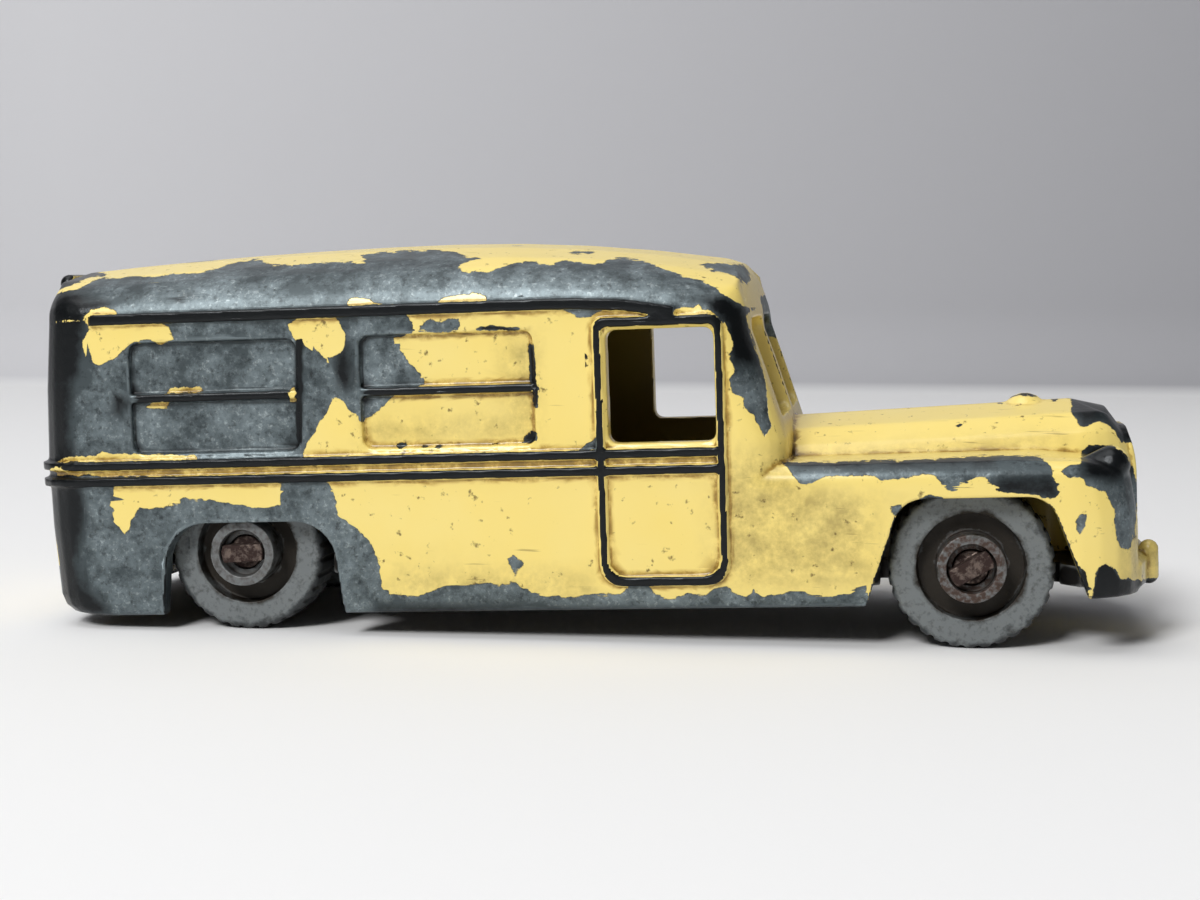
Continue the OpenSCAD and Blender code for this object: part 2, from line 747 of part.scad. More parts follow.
// Room for the wheels to turn inside the casting
module wheel_wells() {
    deep = tyre_face_y + wheel_gap - hub_back_y + side_play;
    for (x = [rear_x, front_x], side = [-1, 1])
        translate([x, side * (tyre_face_y + wheel_gap - deep / 2), wheel_r])
            rotate([90, 0, 0]) cylinder(r = wheel_r + well_gap, h = deep, center = true, $fn = well_fn);
}

// Rivet posts: a boss that the plate seats on, a stud through the plate and a peened head below it
module rivet(x, top) {
    translate([x, 0, 0]) {
        translate([0, 0, plate_top_z + rivet_gap])
            cylinder(d = boss_d, h = top - plate_top_z - rivet_gap, $fn = post_fn);
        translate([0, 0, plate_z - head_t]) cylinder(d = stud_d, h = plate_t + 2 * head_t, $fn = stud_fn);
        translate([0, 0, plate_z - rivet_gap - head_t])
            cylinder(d1 = stud_d, d2 = head_d, h = head_t, $fn = post_fn);
    }
}

module body_casting() {
    color("#E9D78C") {
        difference() {
            on_wheels() {
                difference() {
                    union() {
                        van_form();
                        raised_lines();
                        bonnet_form();
                        bonnet_cap();
                        wing_form();
                        grille();
                        headlamps();
                        bumper_form();
                    }
                    van_hollow();
                    bonnet_form(-wall, -sill_h);
                    wing_form(wall, front_wall, wing_top_t, -sill_h);
                    side_windows();
                    rear_windows();
                    door_windows();
                    windscreen_panes();
                    arch(
                        rear_axle_x + rear_arch_off, rear_arch_h,
                        rear_arch_foot, rear_arch_head, rear_arch_r
                    );
                    arch(
                        front_axle_x + front_arch_off, front_arch_h,
                        front_arch_foot, front_arch_head, front_arch_r
                    );
                }
            }
            wheel_wells();
        }
        rivet(rear_rivet_x, post_top(rear_axle_x - rear_rivet, roof(rear_axle_x - rear_rivet)));
        rivet(front_rivet_x, post_top(front_axle_x + front_rivet, bonnet(front_axle_x + front_rivet)));
    }
}

// Outline of the base plate: full width between the wheels, narrow between each pair, and two ends
module plate_outline() {
    clear = wheel_r + well_gap;
    x0 = rear_x + along(rear_bow + wall, sill_h) + plate_gap;
    x1 = rear_x + along(wing_front_x - front_wall, sill_h + plate_t) - plate_gap;
    middle = 2 * (half_w - wall - plate_gap);
    chamfered(x0, rear_x - clear, plate_end_w);
    chamfered(rear_x + clear, front_x - clear, middle);
    chamfered(front_x + clear, x1, plate_end_w);
    translate([rear_x - clear - eps, -tube_end_y]) square([wheelbase + 2 * clear + 2 * eps, 2 * tube_end_y]);
}

module chamfered(x0, x1, w) {
    c = plate_chamfer;
    h = w / 2;
    polygon([
        [x0 + c, -h], [x1 - c, -h], [x1, c - h], [x1, h - c],
        [x1 - c, h], [x0 + c, h], [x0, h - c], [x0, c - h]
    ]);
}

module base_plate() {
    color("#26241F")
        difference() {
            union() {
                translate([0, 0, plate_z]) linear_extrude(plate_t) plate_outline();
                for (x = [rear_x, front_x])
                    translate([x, tube_end_y, wheel_r]) rotate([90, 0, 0])
                        cylinder(d = tube_d, h = 2 * tube_end_y, $fn = turned_fn);
            }
            for (x = [rear_x, front_x])
                translate([x, 0, wheel_r]) rotate([90, 0, 0])
                    cylinder(d = axle_d + 2 * run_gap, h = past, center = true, $fn = turned_fn);
            for (x = [rear_rivet_x, front_rivet_x])
                translate([x, 0, plate_z - eps])
                    cylinder(d = stud_d + 2 * stud_gap, h = plate_t + 2 * eps, $fn = turned_fn);
        }
}

// Axle rod with its right and left ends crimped flat and turned
module axle(x, turns) {
    shoulder = hub_face_y - crimp_l;
    color("#8C7A6B")
        translate([x, 0, wheel_r]) {
            rotate([90, 0, 0]) cylinder(d = axle_d, h = 2 * shoulder, center = true, $fn = turned_fn);
            translate([0, -shoulder, 0]) rotate([90, 0, 0]) crimp(turns[0]);
            translate([0, shoulder, 0]) rotate([-90, 0, 0]) crimp(turns[1]);
        }
}

module crimp(turn) {
    rotate([0, 0, turn]) linear_extrude(crimp_l)
        intersection() {
            circle(d = crimp_w, $fn = turned_fn);
            square([crimp_w, crimp_t], center = true);
        }
}

module front_axle() axle(front_x, front_crimps);

module rear_axle() axle(rear_x, rear_crimps);

// Section of a wheel: radius against the distance out from the inner hub face
module wheel_section() {
    bore = axle_d / 2 + run_gap;
    sink = crimp_w / 2 + crimp_gap;
    inner = hub_in;
    outer = hub_in + tyre_w;
    face = outer + hub_out;
    difference() {
        union() {
            translate([bore, 0]) square([hub_d / 2 - bore, face]);
            translate([bore, inner + dish_depth]) square([dish_d / 2 - bore, tyre_w - 2 * dish_depth]);
            translate([dish_d / 2 - eps, inner]) square([wheel_r - tyre_r - dish_d / 2 + eps, tyre_w]);
            translate([wheel_r - tyre_r - eps, inner + tyre_r]) square([tyre_r + eps, tyre_w - 2 * tyre_r]);
            for (y = [inner + tyre_r, outer - tyre_r])
                translate([wheel_r - tyre_r, y]) circle(tyre_r, $fn = tyre_edge_fn);
        }
        translate([0, face - crimp_l]) square([sink, crimp_l + eps]);
    }
}

// A wheel on the given axle, on the right (-1) or the left (1)
module wheel(x, side) {
    color("#8E9092")
        translate([x, side * hub_back_y, wheel_r]) rotate([-90 * side, 0, 0])
            difference() {
                rotate_extrude($fn = tyre_fn) wheel_section();
                for (i = [0:tread_n - 1])
                    rotate([0, 0, (i + 0.5) * 360 / tread_n])
                        translate([wheel_r, 0, hub_in + tyre_w / 2])
                            cube([2 * tread_depth, tread_w, 2 * tyre_w], center = true);
            }
}

module front_left_wheel() wheel(front_x, 1);

module front_right_wheel() wheel(front_x, -1);

module rear_left_wheel() wheel(rear_x, 1);

module rear_right_wheel() wheel(rear_x, -1);

body_casting();
base_plate();
front_axle();
rear_axle();
front_left_wheel();
front_right_wheel();
rear_left_wheel();
rear_right_wheel();
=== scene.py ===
"""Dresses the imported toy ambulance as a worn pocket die-cast: chipped enamel on zinc, metal wheels, rusty axles."""

import json
import logging
import math
from dataclasses import dataclass
from enum import Enum
from functools import partial
from typing import Any, ClassVar

import bmesh
import bpy
import numpy as np
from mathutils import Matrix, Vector


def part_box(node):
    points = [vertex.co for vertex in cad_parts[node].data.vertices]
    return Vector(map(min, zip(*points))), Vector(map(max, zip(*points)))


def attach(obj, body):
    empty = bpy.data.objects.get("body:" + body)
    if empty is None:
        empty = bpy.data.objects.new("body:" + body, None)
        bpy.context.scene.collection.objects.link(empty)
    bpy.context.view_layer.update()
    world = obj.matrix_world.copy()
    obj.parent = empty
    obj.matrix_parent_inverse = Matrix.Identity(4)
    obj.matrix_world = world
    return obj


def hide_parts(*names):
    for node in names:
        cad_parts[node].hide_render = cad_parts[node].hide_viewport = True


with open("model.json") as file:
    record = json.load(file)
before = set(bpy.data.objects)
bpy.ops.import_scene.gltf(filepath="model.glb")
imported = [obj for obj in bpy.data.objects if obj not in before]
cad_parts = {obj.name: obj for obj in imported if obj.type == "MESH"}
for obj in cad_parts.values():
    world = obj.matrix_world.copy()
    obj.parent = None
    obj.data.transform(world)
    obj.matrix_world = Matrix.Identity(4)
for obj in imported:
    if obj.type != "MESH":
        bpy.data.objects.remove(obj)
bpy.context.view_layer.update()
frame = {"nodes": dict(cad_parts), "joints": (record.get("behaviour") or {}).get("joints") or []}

log = logging.getLogger("toy_ambulance")

# Millimetres to metres, and back
MM = 0.001
PER_MM = 1000.0
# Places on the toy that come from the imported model, in millimetres
JOINTS = {joint["name"]: Vector(joint["pos_m"]) * PER_MM for joint in frame["joints"]}
REAR_AXLE = JOINTS["rear_axle_spin"]
# Half the width over the side panels
SIDE_Y = 8.6
# The eye that took the photograph, measured from the rear axle along the floor
EYE = np.array([REAR_AXLE.x + 29.75, -94.8, 16.2])
EYE_TURN = math.radians(8.70)
EYE_DIP = math.radians(4.99)
EYE_LENS = 60.0

Outline = tuple[tuple[float, float], ...]
Socket = bpy.types.NodeSocket


def linear(code: str) -> tuple[float, float, float, float]:
    """Turns an sRGB hex colour into linear values for a shader.

    Args:
        code: the colour as #RRGGBB.

    Returns:
        Linear red, green and blue, with an alpha of 1.
    """
    parts = [int(code[i : i + 2], 16) / 255 for i in (1, 3, 5)]
    tones = [c / 12.92 if c <= 0.04045 else ((c + 0.055) / 1.055) ** 2.4 for c in parts]
    return (tones[0], tones[1], tones[2], 1.0)


def grain(size: float) -> float:
    """Texture scale at which a pattern repeats about every size millimetres."""
    return PER_MM / size


def add_node(
    tree: bpy.types.NodeTree, kind: str, inputs: dict[str | int, Any] | None = None, **settings: Any
) -> bpy.types.Node:
    """Adds a node to a tree.

    Args:
        tree: the material's node tree.
        kind: the node's type, without the words that all shader nodes' types begin with.
        inputs: what goes into its sockets, by name or number: a value, an output, or a node for its first output.
        settings: properties of the node itself.

    Returns:
        The new node.
    """
    made = tree.nodes.new("ShaderNode" + kind)
    for name, value in settings.items():
        setattr(made, name, value)
    for key, value in (inputs or {}).items():
        source = value.outputs[0] if isinstance(value, bpy.types.Node) else value
        if isinstance(source, Socket):
            tree.links.new(source, made.inputs[key])
        else:
            made.inputs[key].default_value = source
    return made


class Finish:
    """A finish that builds its own material."""

    name: ClassVar[str] = "finish"

    def shader(self, tree: bpy.types.NodeTree) -> bpy.types.Node:
        """Builds the surface; each finish has its own."""
        raise NotImplementedError

    def material(self) -> bpy.types.Material:
        """Returns a new material with this finish."""
        made = bpy.data.materials.new(self.name)
        made.use_nodes = True
        tree = made.node_tree
        tree.nodes.clear()
        add_node(tree, "OutputMaterial", {"Surface": self.shader(tree)})
        return made


@dataclass(frozen=True)
class ChippedEnamel(Finish):
    """Stoved enamel on a zinc casting, chipped by play: satin cream-yellow over grey oxidised metal."""

    # The enamel gives a soft shine and hard ragged edges; the zinc under it a mottled, frosty grey
    name: ClassVar[str] = "chipped_stoved_enamel_on_zinc"
    enamel: str = "#F0D571"
    faded: str = "#F0DB88"
    ochre: str = "#B48C36"
    grime: str = "#4A350D"
    # Darker olive for the enamel on the casting's inner faces: painted shade inside the hollow body
    painted_shade: str = "#8F7A2C"
    zinc: str = "#454E51"
    bright: str = "#7D898D"
    chalk: str = "#B2BCBD"
    oxide: str = "#15181A"
    # Thickness of the film, in millimetres, drawn thicker than life so that its edge shows
    film: float = 0.05

    def shader(self, tree: bpy.types.NodeTree) -> bpy.types.Node:
        """Builds enamel and metal, parted where the film attribute and a noise say so.

        Args:
            tree: the material's node tree.

        Returns:
            The shader node.
        """
        add = partial(add_node, tree)
        place = add("TexCoord").outputs["Object"]
        names = ("film", "oxide", "ridge", "inside", "soil")
        film, dark, ridge, inside, soil = (add("Attribute", attribute_name=name).outputs["Fac"] for name in names)
        # The film breaks along ragged lines: lobes of about half a millimetre and crumbs of a tenth
        lobes = add("TexNoise", {"Vector": place, "Scale": grain(0.55), "Detail": 4.0, "Roughness": 0.6})
        wander = add("Math", {0: lobes, 1: 0.42, 2: film}, operation="MULTIPLY_ADD")
        held = add(
            "MapRange", {"Value": wander, "From Min": 0.19, "From Max": 0.225}, interpolation_type="SMOOTHSTEP"
        )
        # Pinholes and dirt specks in the film, a tenth of a millimetre wide and a few millimetres apart
        specks = add("TexNoise", {"Vector": place, "Scale": grain(0.42), "Detail": 3.0, "Roughness": 0.55})
        pinholes = add("MapRange", {"Value": specks, "From Min": 0.65, "From Max": 0.74, "To Max": 0.8})
        # Hair scratches, drawn out to a few millimetres along the side and a twentieth of a millimetre high
        drawn = add("Mapping", {"Vector": place, "Rotation": (0.0, 0.35, 0.0), "Scale": (0.07, 1.0, 1.0)})
        hairs = add("TexNoise", {"Vector": drawn, "Scale": grain(0.2), "Detail": 2.0, "Roughness": 0.5})
        scratched = add("MapRange", {"Value": hairs, "From Min": 0.7, "From Max": 0.76, "To Max": 0.45})
        pinholes = add("Math", {0: pinholes, 1: scratched}, operation="MAXIMUM")
        # Enamel: slow changes of tone over a few millimetres, and a duller, browner film beside raised lines
        cloud = add("TexNoise", {"Vector": place, "Scale": grain(4.0), "Detail": 3.0})
        paint = add(
            "Mix", {"Factor": cloud, 6: linear(self.enamel), 7: linear(self.faded)}, data_type="RGBA"
        ).outputs[2]
        hollow = add("MapRange", {"Value": ridge, "From Min": -0.014, "From Max": -0.05})
        beside = add("MapRange", {"Value": ridge, "From Min": -0.005, "From Max": -0.03})
        stain = add("TexNoise", {"Vector": place, "Scale": grain(0.9), "Detail": 5.0, "Roughness": 0.7})
        patchy = add("MapRange", {"Value": stain, "From Min": 0.4, "From Max": 0.6})
        smeared = add("MapRange", {"Value": stain, "From Min": 0.34, "From Max": 0.5, "To Min": 0.25, "To Max": 0.85})
        smeared = add("Math", {0: smeared, 1: beside}, operation="MULTIPLY")
        caked = add("Math", {0: hollow, 1: patchy}, operation="MULTIPLY")
        dirt = add("Math", {0: caked, 1: pinholes}, operation="MAXIMUM", use_clamp=True)
        thin = add("MapRange", {"Value": stain, "From Min": 0.35, "From Max": 0.65, "To Min": 0.06, "To Max": 0.5})
        soiled = add("Math", {0: soil, 1: thin}, operation="MULTIPLY")
        # The last coat darkens the enamel on inner faces toward olive: painted shade inside the hollow body
        coats = ((smeared, self.ochre), (dirt, self.grime), (soiled, self.grime), (inside, self.painted_shade))
        for share, tone in coats:
            paint = add("Mix", {"Factor": share, 6: paint, 7: linear(tone)}, data_type="RGBA").outputs[2]
        # Zinc: grey with pale rubbed clouds and dark pits, black with old oxide where the attribute says so
        mottle = add("TexNoise", {"Vector": place, "Scale": grain(1.1), "Detail": 8.0, "Roughness": 0.74})
        drift = add("TexNoise", {"Vector": place, "Scale": grain(3.5), "Detail": 3.0, "Roughness": 0.6})
        weather = add("Math", {0: drift, 1: 0.6, 2: mottle}, operation="MULTIPLY_ADD")
        weather = add("Math", {0: dark, 1: -0.21, 2: weather}, operation="MULTIPLY_ADD")
        cloudy = add("MapRange", {"Value": weather, "From Min": 0.68, "From Max": 0.98})
        edge = add("MapRange", {"Value": ridge, "From Min": 0.012, "From Max": 0.05, "To Max": 0.8})
        rubbed = add("Math", {0: cloudy, 1: edge}, operation="MAXIMUM")
        bloom = add("TexNoise", {"Vector": place, "Scale": grain(0.2), "Detail": 4.0, "Roughness": 0.65})
        chalky = add("MapRange", {"Value": bloom, "From Min": 0.54, "From Max": 0.68, "To Max": 0.8})
        chalky = add("Math", {0: chalky, 1: cloudy}, operation="MULTIPLY")
        pits = add("TexNoise", {"Vector": place, "Scale": grain(0.28), "Detail": 4.0, "Roughness": 0.65})
        pitted = add("MapRange", {"Value": pits, "From Min": 0.54, "From Max": 0.7, "To Max": 0.6})
        pitted = add("Math", {0: pitted, 1: hollow}, operation="MAXIMUM")
        uneven = add("Math", {0: mottle, 1: 0.9, 2: dark}, operation="MULTIPLY_ADD")
        blackened = add("MapRange", {"Value": uneven, "From Min": 0.7, "From Max": 1.15})
        tarnish = add("Math", {0: blackened, 1: pitted}, operation="MAXIMUM")
        metal = linear(self.zinc)
        for share, tone in ((rubbed, self.bright), (chalky, self.chalk), (tarnish, self.oxide)):
            metal = add("Mix", {"Factor": share, 6: metal, 7: linear(tone)}, data_type="RGBA").outputs[2]
        colour = add("Mix", {"Factor": held, 6: metal, 7: paint}, data_type="RGBA").outputs[2]
        # Enamel is satin, rubbed zinc duller and uneven, black oxide smoother than the zinc
        dull = add("MapRange", {"Value": mottle, "From Min": 0.3, "From Max": 0.7, "To Min": 0.36, "To Max": 0.52})
        dull = add("Mix", {"Factor": blackened, 2: dull, 3: 0.3}, data_type="FLOAT")
        rough = add("Mix", {"Factor": held, 2: dull, 3: 0.27}, data_type="FLOAT")
        metallic = add("MapRange", {"Value": held, "To Min": 0.55, "To Max": 0.0})
        # The film's edge is a step, and pits roughen the bare metal
        bare = add("Math", {0: 1.0, 1: held}, operation="SUBTRACT")
        sunk = add("Math", {0: bare, 1: pits}, operation="MULTIPLY")
        height = add("Math", {0: sunk, 1: -0.35, 2: held}, operation="MULTIPLY_ADD")
        bump = add("Bump", {"Height": height, "Distance": self.film * MM, "Strength": 0.9})
        return add("BsdfPrincipled", {"Base Color": colour, "Roughness": rough, "Metallic": metallic, "Normal": bump})


@dataclass(frozen=True)
class CastWheelMetal(Finish):
    """Bare cast zinc wheel: dull grey, handled smooth on the tyre, caked with brown dirt round the hub."""

    # Sand-rough grey with next to no shine, dark wherever fingers don't reach
    name: ClassVar[str] = "dull_cast_zinc_wheel"
    # How much of the hub collar is under rust, from 0 to 1
    rusted: float = 0.9
    metal: str = "#74797A"
    worn: str = "#989D9D"
    dirt: str = "#262018"
    black: str = "#1E2022"
    rust: str = "#432A1C"
    # Radii, in millimetres and before they wander: edge of the hub collar, edge of the dish and the tyre's shoulder
    collar: tuple[float, float] = (1.95, 2.1)
    dish: tuple[float, float] = (2.8, 3.05)
    shoulder: tuple[float, float] = (3.82, 4.02)

    def shader(self, tree: bpy.types.NodeTree) -> bpy.types.Node:
        """Builds the metal, dirty by its distance from the axle, which the radius attribute holds in millimetres.

        Args:
            tree: the material's node tree.

        Returns:
            The shader node.
        """
        add = partial(add_node, tree)
        place = add("TexCoord").outputs["Object"]
        radius, ridge = (add("Attribute", attribute_name=name).outputs["Fac"] for name in ("radius", "ridge"))
        mottle = add("TexNoise", {"Vector": place, "Scale": grain(1.1), "Detail": 6.0, "Roughness": 0.65})
        pits = add("TexNoise", {"Vector": place, "Scale": grain(0.22), "Detail": 4.0, "Roughness": 0.6})
        wander = add("Math", {0: mottle, 1: radius}, operation="ADD")
        # Dirt lies in the dish, between the hub collar and the tyre's face
        inner = add("MapRange", {"Value": wander, "From Min": self.collar[0], "From Max": self.collar[1]})
        outer = add("MapRange", {"Value": wander, "From Min": self.dish[1], "From Max": self.dish[0]})
        caked = add("Math", {0: inner, 1: outer}, operation="MULTIPLY")
        hollow = add("MapRange", {"Value": ridge, "From Min": -0.004, "From Max": -0.03})
        grimy = add("Math", {0: caked, 1: hollow}, operation="MAXIMUM")
        rubbed = add("MapRange", {"Value": ridge, "From Min": 0.006, "From Max": 0.03})
        rubbed = add("Math", {0: rubbed, 1: mottle}, operation="MULTIPLY")
        rusty = add(
            "MapRange",
            {"Value": wander, "From Min": self.collar[1], "From Max": self.collar[0], "To Max": self.rusted},
        )
        flaked = add("MapRange", {"Value": pits, "From Min": 0.35, "From Max": 0.55, "To Min": 0.25})
        rusty = add("Math", {0: rusty, 1: flaked}, operation="MULTIPLY")
        pitted = add("MapRange", {"Value": pits, "From Min": 0.5, "From Max": 0.75, "To Max": 0.6})
        dark = add("Math", {0: grimy, 1: pitted}, operation="MAXIMUM")
        rough = add("MapRange", {"Value": mottle, "From Min": 0.3, "From Max": 0.7, "To Min": 0.45, "To Max": 0.65})
        # The tread and the tyre's shoulder are darkened toward black, in ragged tongues
        shoulder = add("Math", {0: mottle, 1: 1.1, 2: radius}, operation="MULTIPLY_ADD")
        black = add(
            "MapRange", {"Value": shoulder, "From Min": self.shoulder[0], "From Max": self.shoulder[1], "To Max": 0.8}
        )
        colour = linear(self.metal)
        for share, tone in ((rubbed, self.worn), (rusty, self.rust), (dark, self.dirt), (black, self.black)):
            colour = add("Mix", {"Factor": share, 6: colour, 7: linear(tone)}, data_type="RGBA").outputs[2]
        bump = add("Bump", {"Height": pits, "Distance": 0.03 * MM, "Strength": 0.6})
        return add("BsdfPrincipled", {"Base Color": colour, "Roughness": rough, "Metallic": 0.35, "Normal": bump})


@dataclass(frozen=True)
class RustySteel(Finish):
    """Mild steel rod, crimped cold: brown rust skin with paler steel showing through it."""

    # Matt brown with small glints where the rust is thin
    name: ClassVar[str] = "rusty_mild_steel_rod"
    steel: str = "#75675F"
    rust: str = "#2B1812"

    def shader(self, tree: bpy.types.NodeTree) -> bpy.types.Node:
        """Builds rust over steel, in flecks of a third of a millimetre.

        Args:
            tree: the material's node tree.

        Returns:
            The shader node.
        """
        add = partial(add_node, tree)
        place = add("TexCoord").outputs["Object"]
        skin = add("TexNoise", {"Vector": place, "Scale": grain(0.33), "Detail": 5.0, "Roughness": 0.65})
        rusty = add("MapRange", {"Value": skin, "From Min": 0.36, "From Max": 0.54})
        colour = add(
            "Mix", {"Factor": rusty, 6: linear(self.steel), 7: linear(self.rust)}, data_type="RGBA"
        ).outputs[2]
        rough = add("MapRange", {"Value": rusty, "To Min": 0.35, "To Max": 0.8})
        metallic = add("MapRange", {"Value": rusty, "To Min": 0.85, "To Max": 0.15})
        bump = add("Bump", {"Height": skin, "Distance": 0.04 * MM, "Strength": 0.7})
        return add("BsdfPrincipled", {"Base Color": colour, "Roughness": rough, "Metallic": metallic, "Normal": bump})


@dataclass(frozen=True)
class BlackPlate(Finish):
    """Tinplate in black japan: thin gloss gone dull, scuffed to grey along its edges."""

    # Near black with a weak shine, dusty in patches and pale along worn edges
    name: ClassVar[str] = "black_japanned_tinplate"
    black: str = "#1B1A19"
    dust: str = "#4A453D"
    tin: str = "#8B8D8C"

    def shader(self, tree: bpy.types.NodeTree) -> bpy.types.Node:
        """Builds black paint with dust in patches and bare tin on its ridges.

        Args:
            tree: the material's node tree.

        Returns:
            The shader node.
        """
        add = partial(add_node, tree)
        place = add("TexCoord").outputs["Object"]
        ridge = add("Attribute", attribute_name="ridge").outputs["Fac"]
        cloud = add("TexNoise", {"Vector": place, "Scale": grain(2.2), "Detail": 6.0, "Roughness": 0.65})
        dusty = add("MapRange", {"Value": cloud, "From Min": 0.45, "From Max": 0.75, "To Max": 0.7})
        colour = add(
            "Mix", {"Factor": dusty, 6: linear(self.black), 7: linear(self.dust)}, data_type="RGBA"
        ).outputs[2]
        scuffs = add("Math", {0: ridge, 1: cloud}, operation="MULTIPLY")
        scuffed = add("MapRange", {"Value": scuffs, "From Min": 0.012, "From Max": 0.03})
        colour = add("Mix", {"Factor": scuffed, 6: colour, 7: linear(self.tin)}, data_type="RGBA").outputs[2]
        rough = add("MapRange", {"Value": dusty, "To Min": 0.38, "To Max": 0.75})
        bump = add("Bump", {"Height": cloud, "Distance": 0.03 * MM, "Strength": 0.4})
        return add("BsdfPrincipled", {"Base Color": colour, "Roughness": rough, "Normal": bump})


@dataclass(frozen=True)
class StudioCard(Finish):
    """Matt studio card: pale floor, grey rise painted darker rightward as light falloff, faint tooth of paper."""

    # Without shine, so the toy's shadow shows; the backdrop's grey deepens to the right as painted light falloff
    name: ClassVar[str] = "matt_studio_card"
    pale: str = "#EDEDED"
    painted_lit_grey_left: str = "#CFCFD2"
    painted_shade_grey_right: str = "#A6A6AA"
    # Grain of the paper, in millimetres
    tooth: float = 0.5
    # Places along the backdrop between which its grey deepens as painted light falloff, and the height by which the
    # floor has turned grey, in metres
    across: tuple[float, float] = (-0.11, 0.06)
    risen: float = 0.0015

    def shader(self, tree: bpy.types.NodeTree) -> bpy.types.Node:
        """Builds matt card, pale where it lies and grey where it stands, with painted light falloff across the grey.

        Args:
            tree: the material's node tree.

        Returns:
            The shader node.
        """
        add = partial(add_node, tree)
        place = add("TexCoord").outputs["Object"]
        fibre = add("TexNoise", {"Vector": place, "Scale": grain(self.tooth), "Detail": 3.0})
        bump = add("Bump", {"Height": fibre, "Distance": 0.02 * MM, "Strength": 0.3})
        axes = add("SeparateXYZ", {"Vector": place}).outputs
        # The backdrop's grey deepens from left to right: a painted falloff of light
        aside = add("MapRange", {"Value": axes["X"], "From Min": self.across[0], "From Max": self.across[1]})
        grey = add(
            "Mix", {"Factor": aside, 6: linear(self.painted_lit_grey_left), 7: linear(self.painted_shade_grey_right)}, data_type="RGBA"
        ).outputs[2]
        risen = add("MapRange", {"Value": axes["Z"], "From Max": self.risen})
        colour = add("Mix", {"Factor": risen, 6: linear(self.pale), 7: grey}, data_type="RGBA").outputs[2]
        return add("BsdfPrincipled", {"Base Color": colour, "Roughness": 0.9, "Normal": bump})


class Mark(Enum):
    """What wear has done inside an outline."""

    HELD = "enamel has held"
    BARED = "enamel has gone"
    BLACKENED = "enamel has gone and the metal is black"
    DULLED = "metal is black where it is bare"
    SCORED = "a thin line of black metal shows through the enamel"
    RUBBED = "enamel has gone from what stands out, and the metal is black there"
    PALED = "metal is pale where it is bare"
    SOILED = "dirt lies thin on the enamel"


class Side(Enum):
    """The side of the toy on which an outline is drawn."""

    NEAR = "right side, as the photograph's eye sees it"
    FAR = "left side, length against height"
    REAR = "rear face, width against height"
    ROOF = "roof, length against width"


@dataclass(frozen=True)
class Patch:
    """A patch of wear: where it is, what it did and its outline in millimetres."""

    side: Side
    mark: Mark
    outline: Outline

    def depth(self, points: np.ndarray) -> np.ndarray:
        """Measures how far points lie inside the outline.

        Args:
            points: flat points, one to a row.

        Returns:
            Distance to the outline, negative outside it.
        """
        corners = np.array(self.outline)
        nearest = np.full(len(points), np.inf)
        inside = np.zeros(len(points), bool)
        for a, b in zip(corners, np.roll(corners, -1, axis=0)):
            run, away = b - a, points - a
            share = np.clip(away @ run / (run @ run), 0.0, 1.0)
            nearest = np.minimum(nearest, np.linalg.norm(away - share[:, None] * run, axis=1))
            if run[1] != 0.0:
                crosses = (a[1] > points[:, 1]) != (b[1] > points[:, 1])
                inside ^= crosses & (away[:, 0] < away[:, 1] * run[0] / run[1])
        return np.where(inside, nearest, -nearest)


